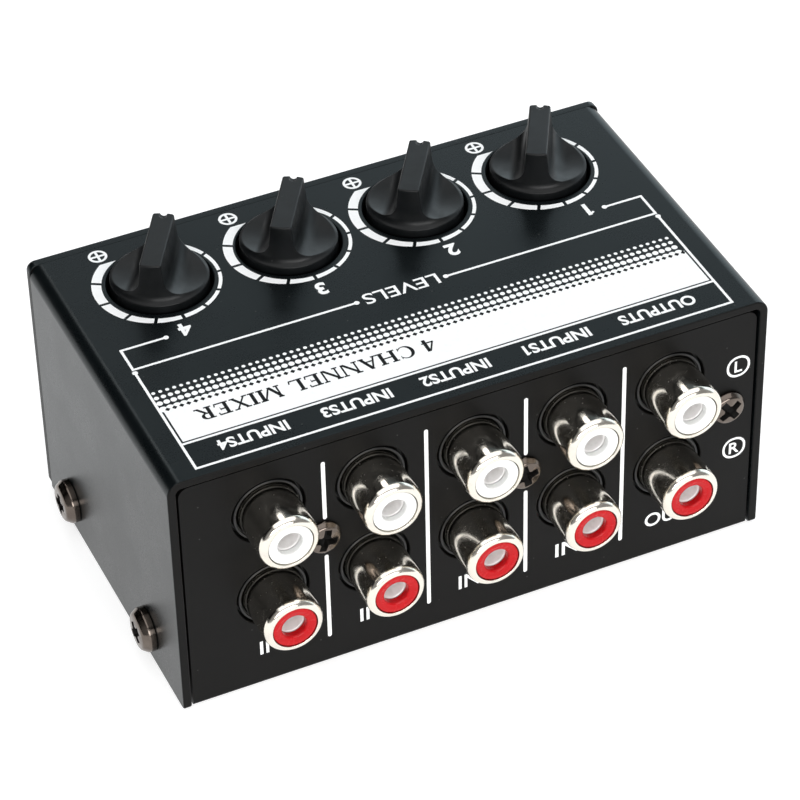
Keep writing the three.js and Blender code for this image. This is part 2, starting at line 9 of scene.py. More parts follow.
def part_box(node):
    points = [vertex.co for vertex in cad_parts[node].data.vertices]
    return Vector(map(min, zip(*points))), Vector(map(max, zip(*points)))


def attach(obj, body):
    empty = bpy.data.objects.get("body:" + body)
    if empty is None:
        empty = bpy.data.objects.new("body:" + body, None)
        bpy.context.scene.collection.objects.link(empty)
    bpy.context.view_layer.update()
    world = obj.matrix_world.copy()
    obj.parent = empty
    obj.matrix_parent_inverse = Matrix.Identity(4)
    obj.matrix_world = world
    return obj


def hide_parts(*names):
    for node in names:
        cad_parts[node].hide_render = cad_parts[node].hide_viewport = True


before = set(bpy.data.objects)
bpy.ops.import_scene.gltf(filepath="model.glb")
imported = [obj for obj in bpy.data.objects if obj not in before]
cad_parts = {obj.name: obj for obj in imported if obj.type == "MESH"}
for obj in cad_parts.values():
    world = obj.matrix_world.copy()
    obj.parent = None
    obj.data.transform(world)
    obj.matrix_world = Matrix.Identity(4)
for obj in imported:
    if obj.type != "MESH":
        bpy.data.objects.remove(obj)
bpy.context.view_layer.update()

MM = 0.001

# Sheet metal, in millimetres
SHEET = 1.2
BEND_RADIUS = 2.0
INNER_BEND_RADIUS = BEND_RADIUS - SHEET
FLOOR_BEND_RADIUS = 0.5
SIDE_CORNER_RADIUS = 0.6
PANEL_CORNER_RADIUS = 1.5
FRONT_CORNER_RADIUS = 1.2
SKIN_GAP = 0.3
SEAM = 0.04
PLATE_EDGE = 0.1
FLANGE_HEIGHT = 9.7
FLANGE_LENGTH = 42.0
PLATE_FOOT = 0.02
PAINTED_EDGE = 0.22
KNOB_HOLE_RADIUS = 7.1
JACK_HOLE_RADIUS = 5.05
SIDE_HOLE_RADIUS = 1.7
PANEL_HOLE_RADIUS = 1.55
SPACER_HOLE_RADIUS = 1.5
HOLE_SIDES = 72

# Knobs
KNOB_COUNT = 4
KNOB_TURNS = (-29, -33, -32, -31)
SKIRT_RADIUS = 6.6
SKIRT_TOP = 0.8
SKIRT_BOTTOM = -1.5
GRIP_RADIUS = 5.8
GRIP_TOP = 6.8
GRIP_HALF_WIDTH = 1.425
GRIP_DRAFT = 0.085
GRIP_FLARE = 0.012
GRIP_EDGE = 0.2
SCOOP_FLOOR = 0.95
SCOOP_FLOOR_RISE = 0.03
SCOOP_FILLET = 2.0
SCOOP_EDGE = 0.12
SCOOP_EDGE_GROWTH = 0.1
SKIRT_FILLET = 1.1
SKIRT_EDGE = 0.1
HUB_RADIUS = 4.4
HUB_BOTTOM = -6.7
HUB_EDGE = 0.25
BORE_RADIUS = 3.3
BORE_TOP = 0.3
GROOVE_RADIUS = 0.47
GROOVE_LENGTH = 1.1
GROOVE_EDGE = 0.08
KNOB_GRID = 0.115
KNOB_MARGIN = 0.3
KNOB_KEPT_SHARE = 0.3

# Phono sockets, measured from the panel's face towards the plug
SLEEVE_RADIUS = 4.1
SLEEVE_BORE = 3.45
SLEEVE_REACH = 7.2
LIP_HEIGHT = 0.95
LIP_OPENING = 3.12
FACE_SET_BACK = 0.1
INSULATOR_RADIUS = 3.0
PIN_HOLE_RADIUS = 1.7
CONTACT_SET_BACK = 1.3
CONTACT_RADIUS = 2.1
CONTACT_BORE = 1.55
COLLAR_RADIUS = 4.75
COLLAR_RECESS = 0.15
COLLAR_STEP = 0.3
SOCKET_TURN = 47
BLOCK_WALL = 6.3
BLOCK_EDGE = 0.6
BOSS_HALF_HEIGHT = 3

# Screws: a shank is its radius and length; a slot's and a hub's half width are at the top and the foot
SCREW_SEAT = 0.05
PANEL_SHANK = (1.25, 7)
PANEL_SCREW_TURNS = (38, 12, 74)
PANEL_SCREW_COUNT = len(PANEL_SCREW_TURNS)
SIDE_SHANK = (1.4, 3.4)
SIDE_SCREW_TURNS = (20, 65, 8, 41)
THREAD_PITCH = 0.5
SLOT_HALF_WIDTH = (0.56, 0.4)
HUB_HALF_WIDTH = (0.98, 0.55)
RECESS_TAPER = 0.72
RECESS_SHARE = 0.86

# Printing
FINE_LINE = 0.36
INK_LIFT = 0.018

# An outline in Y and Z pulled along X, and one in X and Z pulled along -Y
ALONG_X = Matrix(((0, 0, 1, 0), (1, 0, 0, 0), (0, 1, 0, 0), (0, 0, 0, 1)))
ALONG_Y = Matrix.Rotation(math.radians(90), 4, "X")


# ---- meshes

def arc_points(centre, radius, start, end, steps):
    angles = np.radians(np.linspace(start, end, steps + 1))
    return [(centre[0] + radius * math.cos(a), centre[1] + radius * math.sin(a)) for a in angles]


def rounded(corners, steps=6, closed=True):
    """Points of an outline given as (x, y, radius), each corner with a radius turned into an arc."""
    points = []
    count = len(corners)
    for i, (x, y, radius) in enumerate(corners):
        here = Vector((x, y))
        if radius <= 0 or (not closed and i in (0, count - 1)):
            points.append((x, y))
            continue
        back = (Vector(corners[i - 1][:2]) - here).normalized()
        on = (Vector(corners[(i + 1) % count][:2]) - here).normalized()
        half = back.angle(on) / 2
        reach = radius / math.tan(half)
        middle = here + (back + on).normalized() * (radius / math.sin(half))
        first = here + back * reach - middle
        last = here + on * reach - middle
        turn = first.angle_signed(last)
        for k in range(steps + 1):
            spoke = first.copy()
            spoke.rotate(Matrix.Rotation(-turn * k / steps, 2))
            points.append(tuple(middle + spoke))
    return points


def tube_of(profile, segments, closed):
    """A solid of revolution about Z from (radius, height) points, in millimetres."""
    mesh = bmesh.new()
    rings = []
    for radius, height in profile:
        if radius < 1e-6:
            rings.append([mesh.verts.new((0, 0, height))])
            continue
        spokes = (2 * math.pi * k / segments for k in range(segments))
        rings.append([mesh.verts.new((radius * math.cos(a), radius * math.sin(a), height)) for a in spokes])
    pairs = list(zip(rings, rings[1:] + ([rings[0]] if closed else [])))
    for lower, upper in pairs[:len(rings) if closed else len(rings) - 1]:
        for k in range(segments):
            n = (k + 1) % segments
            corners = [ring[i % len(ring)] for ring, i in ((lower, k), (lower, n), (upper, n), (upper, k))]
            unique = list(dict.fromkeys(corners))
            if len(unique) > 2:
                mesh.faces.new(unique)
    bmesh.ops.recalc_face_normals(mesh, faces=mesh.faces)
    return mesh


def capped(mesh, bottom, top):
    """Adds a solid between two rings of as many points each."""
    low, high = ([mesh.verts.new(point) for point in ring] for ring in (bottom, top))
    mesh.faces.new(high)
    mesh.faces.new(low[::-1])
    for i in range(len(low)):
        n = (i + 1) % len(low)
        mesh.faces.new((low[i], low[n], high[n], high[i]))


def at_height(outline, z):
    return [(x, y, z) for x, y in outline]


def prism(outline, low, high):
    """A flat outline of (x, y) points pulled along Z from low to high."""
    mesh = bmesh.new()
    capped(mesh, at_height(outline, low), at_height(outline, high))
    bmesh.ops.recalc_face_normals(mesh, faces=mesh.faces)
    return mesh


def slab(low, high):
    """A box from its lowest to its highest corner."""
    outline = [(low[0], low[1]), (high[0], low[1]), (high[0], high[1]), (low[0], high[1])]
    return prism(outline, low[2], high[2])


def merged(parts):
    """One mesh from several, which are used up."""
    whole = bmesh.new()
    for part in parts:
        scratch = bpy.data.meshes.new("scratch")
        part.to_mesh(scratch)
        part.free()
        whole.from_mesh(scratch)
        bpy.data.meshes.remove(scratch)
    return whole


def turned_mesh(mesh, matrix):
    """The mesh moved by the matrix, its faces still outwards if that mirrors it."""
    bmesh.ops.transform(mesh, matrix=matrix, verts=mesh.verts)
    if matrix.determinant() < 0:
        bmesh.ops.reverse_faces(mesh, faces=mesh.faces)
    return mesh


def new_object(name, data):
    thing = bpy.data.objects.new(name, data)
    bpy.context.scene.collection.objects.link(thing)
    return thing


def made_object(name, mesh):
    """An object in metres from a mesh in millimetres, which is used up."""
    bmesh.ops.scale(mesh, vec=(MM, MM, MM), verts=mesh.verts)
    data = bpy.data.meshes.new(name)
    mesh.to_mesh(data)
    mesh.free()
    return new_object(name, data)


def baked(thing):
    """The object's modifiers applied to its mesh."""
    graph = bpy.context.evaluated_depsgraph_get()
    result = bpy.data.meshes.new_from_object(thing.evaluated_get(graph))
    old = thing.data
    thing.modifiers.clear()
    thing.data = result
    bpy.data.meshes.remove(old)
    return thing


def loose_mesh(thing):
    """The object's mesh with its modifiers applied, without the object."""
    data = baked(thing).data
    bpy.data.objects.remove(thing)
    return data


def combined(thing, tool, operation):
    """The object joined with, cut by or kept within the tool, which is removed."""
    change = thing.modifiers.new("change", "BOOLEAN")
    change.operation = operation
    change.solver = "EXACT"
    change.object = tool
    baked(thing)
    data = tool.data
    bpy.data.objects.remove(tool)
    bpy.data.meshes.remove(data)
    return thing


def cut(thing, mesh):
    return combined(thing, made_object("tool", mesh), "DIFFERENCE")


def joined(thing, mesh):
    return combined(thing, made_object("tool", mesh), "UNION")


def kept_within(thing, mesh):
    return combined(thing, made_object("tool", mesh), "INTERSECT")


def eased(thing, width, segments=3, angle=40):
    """Edges sharper than the angle rounded to the width, in millimetres."""
    bevel = thing.modifiers.new("edge", "BEVEL")
    bevel.width = width * MM
    bevel.segments = segments
    bevel.limit_method = "ANGLE"
    bevel.angle_limit = math.radians(angle)
    bevel.miter_outer = "MITER_ARC"
    return baked(thing)


def shaded(thing, angle=38):
    """Smooth shading that keeps flat faces flat and sharp edges sharp."""
    thing.data.shade_smooth()
    thing.data.set_sharp_from_angle(angle=math.radians(angle))
    weighted = thing.modifiers.new("normals", "WEIGHTED_NORMAL")
    weighted.keep_sharp = True
    weighted.weight = 80
    return thing


def finished(thing, material, body, slot=None, replaces=()):
    """Gives a piece its material and body, and hides the CAD nodes that it stands for. The slot is not
    used.
    """
    thing.data.materials.clear()
    thing.data.materials.append(material)
    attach(thing, body)
    if replaces:
        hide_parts(*replaces)
    return thing


def centre_mm(node):
    low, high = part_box(node)
    return (low + high) / (2 * MM)


def box_mm(node):
    low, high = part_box(node)
    return low / MM, high / MM


def upright(x, y, z):
    return Matrix.Translation((x, y, z))


def facing_rear(x, y, z, turn=0.0):
    """Local Z points along +Y, turned about it by the angle in degrees."""
    upturned = Matrix.Translation((x, y, z)) @ Matrix.Rotation(math.radians(-90), 4, "X")
    return upturned @ Matrix.Rotation(math.radians(turn), 4, "Z")


def facing_side(x, y, z, side, turn=0.0):
    """Local Z points along +X or -X."""
    upturned = Matrix.Translation((x, y, z)) @ Matrix.Rotation(math.radians(90 * side), 4, "Y")
    return upturned @ Matrix.Rotation(math.radians(turn), 4, "Z")


def on_panel(node, turn=0.0, lift=0.0):
    """The place in line with a node on the rear panel's face, or lifted off it."""
    axis = centre_mm(node)
    return facing_rear(axis.x, box_mm("chassis")[1].y + lift, axis.z, turn)


def on_side(node, side_x, turn=0.0):
    """The place in line with a node on its side of the box, at that distance from the middle."""
    axis = centre_mm(node)
    side = 1 if axis.x > 0 else -1
    return facing_side(side * side_x, axis.y, axis.z, side, turn)


def placed(name, data, matrix):
    """A shared mesh as a piece at a place in millimetres."""
    thing = new_object(name, data)
    place = matrix.copy()
    place.translation *= MM
    thing.matrix_world = place
    return thing


# ---- materials

class Nodes:
    """Short ways to add and to join the nodes of one tree."""

    def __init__(self, tree):
        self.tree = tree

    def node(self, kind, **values):
        """A new node, each value set on the socket or, if it has none of that name, on the node."""
        node = self.tree.nodes.new(kind)
        for name, value in values.items():
            socket = name.replace("_", " ")
            if socket in node.inputs:
                node.inputs[socket].default_value = value
            else:
                setattr(node, name, value)
        return node

    def link(self, source, target):
        self.tree.links.new(source, target)


class Shader(Nodes):
    """A Principled material with its texture nodes, in object space and millimetres."""

    def __init__(self, name, base, roughness, metallic=0.0, **sockets):
        self.material = bpy.data.materials.new(name)
        self.material.use_nodes = True
        super().__init__(self.material.node_tree)
        self.surface = self.tree.nodes["Principled BSDF"]
        self.set("Base Color", (*base, 1))
        self.set("Roughness", roughness)
        self.set("Metallic", metallic)
        for socket, value in sockets.items():
            self.set(socket.replace("_", " "), value)
        self.base = base
        self.roughness = roughness
        self.place = self.millimetres()
        self.height = None

    def set(self, socket, value):
        self.surface.inputs[socket].default_value = value

    def millimetres(self):
        """Object coordinates in millimetres, shifted by the piece's own place."""
        coordinates = self.node("ShaderNodeTexCoord")
        where = self.node("ShaderNodeObjectInfo")
        added = self.node("ShaderNodeVectorMath", operation="ADD")
        self.link(coordinates.outputs["Object"], added.inputs[0])
        self.link(where.outputs["Location"], added.inputs[1])
        scaled = self.node("ShaderNodeVectorMath", operation="SCALE")
        scaled.inputs["Scale"].default_value = 1 / MM
        self.link(added.outputs[0], scaled.inputs[0])
        return scaled.outputs[0]

    def noise(self, size, detail=2.0, rough=0.5, stretch=(1, 1, 1)):
        """Noise from 0 to 1 with features of about that size in millimetres."""
        place = self.place
        if stretch != (1, 1, 1):
            squeezed = self.node("ShaderNodeVectorMath", operation="MULTIPLY")
            squeezed.inputs[1].default_value = [1 / s for s in stretch]
            self.link(place, squeezed.inputs[0])
            place = squeezed.outputs[0]
        noise = self.node("ShaderNodeTexNoise", Scale=1 / size, Detail=detail, Roughness=rough)
        self.link(place, noise.inputs["Vector"])
        return noise.outputs["Fac"]

    def cells(self, size):
        """Distance to the nearest of scattered points, in cells of that size in millimetres."""
        cells = self.node("ShaderNodeTexVoronoi", Scale=1 / size, Randomness=1.0)
        self.link(self.place, cells.inputs["Vector"])
        return cells.outputs["Distance"]

    def ranged(self, value, *limits):
        """Eases the value from its low and high to a new low and high."""
        ranged = self.node("ShaderNodeMapRange", interpolation_type="SMOOTHSTEP")
        for socket, number in zip(("From Min", "From Max", "To Min", "To Max"), limits):
            ranged.inputs[socket].default_value = number
        self.link(value, ranged.inputs["Value"])
        return ranged.outputs["Result"]

    def maths(self, operation, first, second):
        node = self.node("ShaderNodeMath", operation=operation)
        for socket, value in zip(node.inputs, (first, second)):
            if isinstance(value, (int, float)):
                socket.default_value = value
            else:
                self.link(value, socket)
        return node.outputs[0]

    def tint(self, amount, colour):
        """Mixes the colour into the base by the amount, on top of what is there."""
        mix = self.node("ShaderNodeMix", data_type="RGBA")
        socket = self.surface.inputs["Base Color"]
        if socket.links:
            self.link(socket.links[0].from_socket, mix.inputs["A"])
        else:
            mix.inputs["A"].default_value = (*self.base, 1)
        mix.inputs["B"].default_value = (*colour, 1)
        self.link(amount, mix.inputs["Factor"])
        self.link(mix.outputs["Result"], socket)

    def gloss(self, value):
        """Adds a signed value to the roughness."""
        socket = self.surface.inputs["Roughness"]
        before = socket.links[0].from_socket if socket.links else self.roughness
        self.link(self.maths("ADD", before, value), socket)

    def bump(self, value, depth, strength=1.0):
        """Raises the surface by up to the depth in millimetres."""
        bump = self.node("ShaderNodeBump", Strength=strength, Distance=depth * MM)
        self.link(value, bump.inputs["Height"])
        if self.height:
            self.link(self.height, bump.inputs["Normal"])
        self.height = bump.outputs["Normal"]
        self.link(self.height, self.surface.inputs["Normal"])

    def cloud(self, size, reach, amount, colour, detail=3):
        """Tints soft patches of about that size, where the noise is past its reach."""
        self.tint(self.ranged(self.noise(size, detail), *reach, 0, amount), colour)

    def specks(self, spacing, reach, amount, colour):
        """Tints scattered specks, each fading over its reach."""
        self.tint(self.ranged(self.cells(spacing), *reach, amount, 0), colour)

    def drift(self, size, reach, change, detail=3, rough=0.5, stretch=(1, 1, 1)):
        """Changes the roughness in patches of about that size."""
        self.gloss(self.ranged(self.noise(size, detail, rough, stretch), *reach, *change))

    def grain(self, size, depth, strength, detail=2, stretch=(1, 1, 1)):
        self.bump(self.noise(size, detail, 0.5, stretch), depth, strength)


def paint(name, base, roughness, level, sheen=(1, 1, 1)):
    """Satin powder coat: a fine peel, drifting gloss, faint scuffs and a few specks of dust."""
    shader = Shader(name, base, roughness, Specular_IOR_Level=level, Specular_Tint=(*sheen, 1))
    lighter = tuple(c * 1.5 + 0.001 for c in base)
    shader.cloud(14, (0.35, 0.7), 0.3, lighter)
    shader.cloud(0.16, (0.45, 0.75), 0.25, lighter, detail=1)
    shader.specks(2.6, (0.02, 0.05), 0.45, (0.11, 0.11, 0.105))
    shader.drift(9, (0.3, 0.7), (-0.012, 0.02), detail=4, rough=0.6)
    shader.drift(0.25, (0.3, 0.7), (-0.02, 0.02), detail=2)
    shader.drift(1.2, (0.62, 0.75), (0, 0.03), rough=0.6, stretch=(9, 1, 1))
    shader.grain(0.42, 0.005, 0.5)
    shader.grain(0.13, 0.0025, 0.5, detail=1)
    return shader.material


def knob_plastic():
    """Matt black moulding with a fine grain and a trace of handling."""
    shader = Shader("knob_plastic", (0.0028, 0.0034, 0.0038), 0.4, Specular_IOR_Level=0.27)
    shader.cloud(3.5, (0.4, 0.75), 0.6, (0.007, 0.008, 0.009))
    shader.specks(1.9, (0.025, 0.06), 0.35, (0.12, 0.12, 0.115))
    shader.drift(2.2, (0.35, 0.7), (-0.05, 0.05))
    shader.grain(0.17, 0.008, 0.55)
    return shader.material


def plating():
    """Bright nickel with faint smears and a few dull specks."""
    shader = Shader("nickel_plating", (0.86, 0.81, 0.72), 0.13, 1.0)
    shader.cloud(1.6, (0.45, 0.7), 0.5, (0.74, 0.71, 0.65))
    shader.drift(1.1, (0.4, 0.75), (0, 0.1), detail=4, rough=0.6)
    shader.gloss(shader.ranged(shader.cells(0.8), 0.04, 0.12, 0.25, 0))
    shader.grain(1.4, 0.006, 0.25, detail=1)
    return shader.material


def insulator_plastic(name, base, deep):
    """Glossy moulding that drifts to a slightly deeper tone."""
    shader = Shader(name, base, 0.24, Specular_IOR_Level=0.2)
    shader.cloud(1.3, (0.4, 0.75), 0.5, deep)
    shader.drift(0.7, (0.4, 0.7), (-0.04, 0.08))
    shader.grain(0.35, 0.004, 0.4)
    return shader.material


def contact_metal_and_shade():
    # The plated contact's own light tone, darkened a little as painted shade for its place deep in the pin
    # hole.
    shader = Shader("contact_metal_and_shade", (0.82, 0.8, 0.79), 0.45, 0.15)
    shader.cloud(0.9, (0.4, 0.7), 0.6, (0.68, 0.66, 0.64))
    shader.drift(0.5, (0.4, 0.7), (-0.06, 0.12))
    shader.grain(0.3, 0.006, 0.5)
    return shader.material


def socket_moulding():
    shader = Shader("socket_moulding", (0.007, 0.007, 0.007), 0.34, Specular_IOR_Level=0.4)
    shader.cloud(2.0, (0.45, 0.75), 0.6, (0.011, 0.011, 0.0105))
    shader.drift(0.8, (0.35, 0.7), (-0.05, 0.06))
    shader.grain(0.3, 0.003, 0.4)
    return shader.material


def screw_metal():
    """Brown-black plated steel, its tone drifting slightly."""
    shader = Shader("screw_metal", (0.14, 0.116, 0.1), 0.18, 1.0)
    shader.cloud(1.4, (0.4, 0.75), 0.6, (0.2, 0.17, 0.147))
    shader.specks(0.9, (0.03, 0.09), 0.4, (0.06, 0.05, 0.042))
    shader.drift(0.7, (0.35, 0.7), (-0.04, 0.08))
    shader.grain(0.5, 0.005, 0.35)
    return shader.material


def painted_recess_shade():
    """Painted shade: the walls and the floor of a screw's cross recess drawn near black, as the plated
    metal looks in the shade down there.
    """
    shader = Shader("painted_recess_shade", (0.004, 0.0036, 0.0034), 0.5, Specular_IOR_Level=0.15)
    shader.cloud(0.5, (0.4, 0.75), 0.6, (0.009, 0.008, 0.007))
    shader.drift(0.3, (0.35, 0.7), (-0.05, 0.1), detail=2)
    shader.grain(0.25, 0.006, 0.4)
    return shader.material


def bare_steel():
    """Drawn steel, brushed along Z."""
    shader = Shader("bare_steel", (0.56, 0.56, 0.55), 0.34, 1.0)
    shader.cloud(2.4, (0.4, 0.7), 0.6, (0.42, 0.41, 0.39), detail=4)
    shader.drift(0.9, (0.35, 0.7), (-0.07, 0.1), stretch=(1, 1, 8))
    shader.grain(0.25, 0.006, 0.5, stretch=(1, 1, 10))
    return shader.material


def board_laminate():
    """Green solder mask over a woven laminate."""
    shader = Shader("board_laminate", (0.016, 0.1, 0.042), 0.35, Specular_IOR_Level=0.5)
    shader.cloud(1.8, (0.4, 0.7), 0.6, (0.03, 0.15, 0.07))
    warp, weft = (shader.noise(0.5, 1, 0.5, stretch) for stretch in ((6, 1, 1), (1, 6, 1)))
    weave = shader.maths("MULTIPLY", warp, weft)
    shader.tint(shader.ranged(weave, 0.2, 0.4, 0, 0.4), (0.01, 0.07, 0.03))
    shader.drift(0.8, (0.4, 0.7), (-0.05, 0.08), detail=2)
    shader.bump(weave, 0.01, 0.5)
    return shader.material


def screen_ink(name, base, faded, level):
    """Printed ink: the mesh of the screen shows as a slight unevenness."""
    shader = Shader(name, base, 0.42, Specular_IOR_Level=level)
    shader.cloud(0.5, (0.45, 0.8), 0.5, faded)
    shader.drift(0.3, (0.35, 0.7), (-0.05, 0.06), detail=2)
    shader.grain(0.2, 0.004, 0.5)
    return shader.material


# ---- box

def hole_cutter(radius, matrix, depth=2.4, flare=0.2):
    """A round punch that rounds the edge of the hole in a sheet's face, which is local Z 0."""
    rim = radius + flare
    profile = [(0, 1), (rim, 1), (rim, 0)]
    for angle in (22.5, 45, 67.5, 90):
        a = math.radians(angle)
        profile.append((radius + flare * (1 - math.sin(a)), -flare * (1 - math.cos(a))))
    profile += [(radius, -depth), (0, -depth)]
    return turned_mesh(tube_of(profile, HOLE_SIDES, False), matrix)


def side_screws():
    return [f"side_screw_{side}_{end}" for side in ("left", "right") for end in ("front", "rear")]


def side_punches(sheet_x):
    """Punches for the screw holes in both sides of a sheet that reaches out to that X."""
    return [hole_cutter(SIDE_HOLE_RADIUS, on_side(name, sheet_x), flare=0.1) for name in side_screws()]


def second_paint(thing, material, chosen):
    """A second material on the faces picked out by centre and normal, both in the piece's own axes."""
    thing.data.materials.append(material)
    for face in thing.data.polygons:
        face.material_index = 1 if chosen(face.center / MM, face.normal) else 0


def make_cover(material, edge_material):
    """Top and two sides folded from one sheet, corners cut round, edges softened by the paint."""
    low, high = box_mm("top_cover")
    inner_left, inner_right, ceiling = low.x + SHEET, high.x - SHEET, high.z - SHEET
    section = rounded([
        (low.x, low.z, 0), (inner_left, low.z, 0), (inner_left, ceiling, INNER_BEND_RADIUS),
        (inner_right, ceiling, INNER_BEND_RADIUS), (inner_right, low.z, 0), (high.x, low.z, 0),
        (high.x, high.z, BEND_RADIUS), (low.x, high.z, BEND_RADIUS),
    ], 12)
    front = low.y - SKIN_GAP + SEAM
    cover = made_object("top_cover_sheet", turned_mesh(prism(section, -high.y, SHEET - front), ALONG_Y))
    outline = rounded([
        (front - 2 * SHEET, low.z, 0), (high.y, low.z, SIDE_CORNER_RADIUS),
        (high.y, high.z + SHEET, 0), (front - 2 * SHEET, high.z + SHEET, 0),
    ], 10)
    kept_within(cover, turned_mesh(prism(outline, low.x - SHEET, high.x + SHEET), ALONG_X))
    eased(cover, PAINTED_EDGE)
    beyond = (low.x - SHEET, front - 3 * SHEET, low.z - SHEET)
    cut(cover, slab(beyond, (high.x + SHEET, front, high.z + SHEET)))
    punches = side_punches(high.x)
    for i in range(1, KNOB_COUNT + 1):
        axis = centre_mm(f"pot_shaft_{i}")
        punches.append(hole_cutter(KNOB_HOLE_RADIUS, upright(axis.x, axis.y, high.z), flare=0.25))
    cut(cover, merged(punches))
    finished(shaded(cover), material, "root", "cover_coat", ["top_cover"])
    second_paint(cover, edge_material, lambda centre, normal: abs(normal.y) > 0.6)


def front_plate(low, high):
    """The front panel, as large as the box, with small round corners."""
    outline = rounded([
        (low.x, PLATE_FOOT, FRONT_CORNER_RADIUS), (high.x, PLATE_FOOT, FRONT_CORNER_RADIUS),
        (high.x, high.z, FRONT_CORNER_RADIUS), (low.x, high.z, FRONT_CORNER_RADIUS),
    ], 8)
    plate = made_object("front_plate", turned_mesh(prism(outline, -low.y - SHEET, -low.y), ALONG_Y))
    return eased(plate, PLATE_EDGE)


def chassis_punches(side_x):
    """Punches for the sockets, the panel screws, the side screws and the two posts."""
    punches = side_punches(side_x)
    punches += [hole_cutter(JACK_HOLE_RADIUS, on_panel(f"jack_shell_{name}")) for name in jack_names()]
    for i in range(1, PANEL_SCREW_COUNT + 1):
        punches.append(hole_cutter(PANEL_HOLE_RADIUS, on_panel(f"panel_screw_{i}"), flare=0.1))
    for side in ("left", "right"):
        axis = centre_mm(f"board_spacer_{side}")
        floor = upright(axis.x, axis.y, 0) @ Matrix.Rotation(math.pi, 4, "X")
        punches.append(hole_cutter(SPACER_HOLE_RADIUS, floor, flare=0.1))
    return punches


def make_chassis(material, top_material):
    """Rear panel, floor and front panel folded from one sheet, with two flanges for the side screws."""
    low, high = box_mm("chassis")
    plate = front_plate(low, high)
    panel_top = high.z - SHEET - SKIN_GAP
    low.x += SHEET + SKIN_GAP
    high.x -= SHEET + SKIN_GAP
    front, rear = low.y + SHEET / 3, high.y - SHEET
    section = rounded([
        (front, 0, 0), (high.y, 0, FLOOR_BEND_RADIUS), (high.y, panel_top, 0),
        (rear, panel_top, 0), (rear, SHEET, 0), (front, SHEET, 0),
    ], 8)
    chassis = made_object("chassis_sheet", turned_mesh(prism(section, low.x, high.x), ALONG_X))
    outline = rounded([
        (low.x, -SHEET, 0), (high.x, -SHEET, 0),
        (high.x, panel_top, PANEL_CORNER_RADIUS), (low.x, panel_top, PANEL_CORNER_RADIUS),
    ], 10)
    kept_within(chassis, turned_mesh(prism(outline, low.y - SHEET, high.y + SHEET), ALONG_Y))
    eased(chassis, PAINTED_EDGE)
    combined(chassis, plate, "UNION")
    half = FLANGE_LENGTH / 2
    sides = (low.x, high.x - SHEET)
    flanges = [slab((x, -half, SHEET / 2), (x + SHEET, half, FLANGE_HEIGHT)) for x in sides]
    joined(chassis, merged(flanges))
    cut(chassis, merged(chassis_punches(high.x)))
    finished(shaded(chassis), material, "root", "panel_coat", ["chassis"])
    plate_top = panel_top + SKIN_GAP
    second_paint(chassis, top_material, lambda centre, normal: centre.z > plate_top and normal.y > -0.7)


# ---- knobs

def union_round(first, second, radius):
    """Distance to two shapes joined through a fillet."""
    corner = np.hypot(np.maximum(radius - first, 0), np.maximum(radius - second, 0))
    return np.maximum(radius, np.minimum(first, second)) - corner


def meet_round(first, second, radius):
    """Distance to what two shapes share, its edge rounded."""
    corner = np.hypot(np.maximum(radius + first, 0), np.maximum(radius + second, 0))
    return np.minimum(-radius, np.maximum(first, second)) + corner


def scoop(across, along, up):
    """The finger scoop on one side of the grip: a steep wall and a floor that rises towards its ends."""
    wall = GRIP_HALF_WIDTH + (GRIP_TOP - up) * GRIP_DRAFT - across
    floor = SCOOP_FLOOR + SCOOP_FLOOR_RISE * along**2 - up
    return meet_round(wall / math.hypot(1, GRIP_DRAFT), floor, SCOOP_FILLET)


def knob_distance(x, y, z):
    """Signed distance in millimetres to a knob on the Z axis, its pointer end at -Y."""
    r = np.hypot(x, y)
    grip = meet_round(r - GRIP_RADIUS - GRIP_FLARE * (GRIP_TOP - z), z - GRIP_TOP, GRIP_EDGE)
    body = union_round(grip, z - SKIRT_TOP, SKIRT_FILLET)
    body = meet_round(body, r - SKIRT_RADIUS, SKIRT_EDGE)
    body = meet_round(body, SKIRT_BOTTOM - z, SKIRT_EDGE)
    edge = SCOOP_EDGE + SCOOP_EDGE_GROWTH * np.clip((z - 3.5) / 2.5, 0, 1)
    body = meet_round(body, -scoop(x, y, z), edge)
    body = meet_round(body, -scoop(-x, y, z), edge)
    groove_end = GROOVE_LENGTH - GRIP_RADIUS - GROOVE_RADIUS
    groove = np.sqrt(x**2 + (z - GRIP_TOP)**2 + np.maximum(y - groove_end, 0)**2) - GROOVE_RADIUS
    body = meet_round(body, -groove, GROOVE_EDGE)
    hub = meet_round(r - HUB_RADIUS, HUB_BOTTOM - z, HUB_EDGE)
    hub = np.maximum(hub, z - SKIRT_TOP + 0.2)
    bore = np.maximum(r - BORE_RADIUS, z - BORE_TOP)
    return np.maximum(np.minimum(body, hub), -bore)


def window(values, start, size):
    """The part of a grid of that size that begins at start."""
    return values[tuple(slice(s, s + n) for s, n in zip(start, size))]


def surface_net(distance, low, high, step):
    """Points and quads of the surface where distance is zero, on a grid of that step."""
    axes = [np.arange(a, b + step, step) for a, b in zip(low, high)]
    values = distance(*np.meshgrid(*axes, indexing="ij"))
    cells = tuple(n - 1 for n in values.shape)
    total = np.zeros(cells + (3,))
    count = np.zeros(cells)
    for axis in range(3):
        for sides in ((0, 0), (0, 1), (1, 0), (1, 1)):
            start = np.insert(sides, axis, 0)
            a = window(values, start, cells)
            b = window(values, start + np.eye(3, dtype=int)[axis], cells)
            crossing = (a < 0) != (b < 0)
            share = np.where(crossing, a / np.where(crossing, a - b, 1), 0)
            for k in range(3):
                total[..., k] += np.where(crossing, share if k == axis else start[k], 0)
            count += crossing
    used = count > 0
    number = np.full(cells, -1)
    number[used] = np.arange(used.sum())
    points = (np.argwhere(used) + total[used] / count[used][:, None]) * step + np.array(low)
    inside = values < 0
    quads = [quad_at(number, inside, spot, axis)
             for axis in range(3) for spot in np.argwhere(np.diff(inside, axis=axis))]
    return points, quads


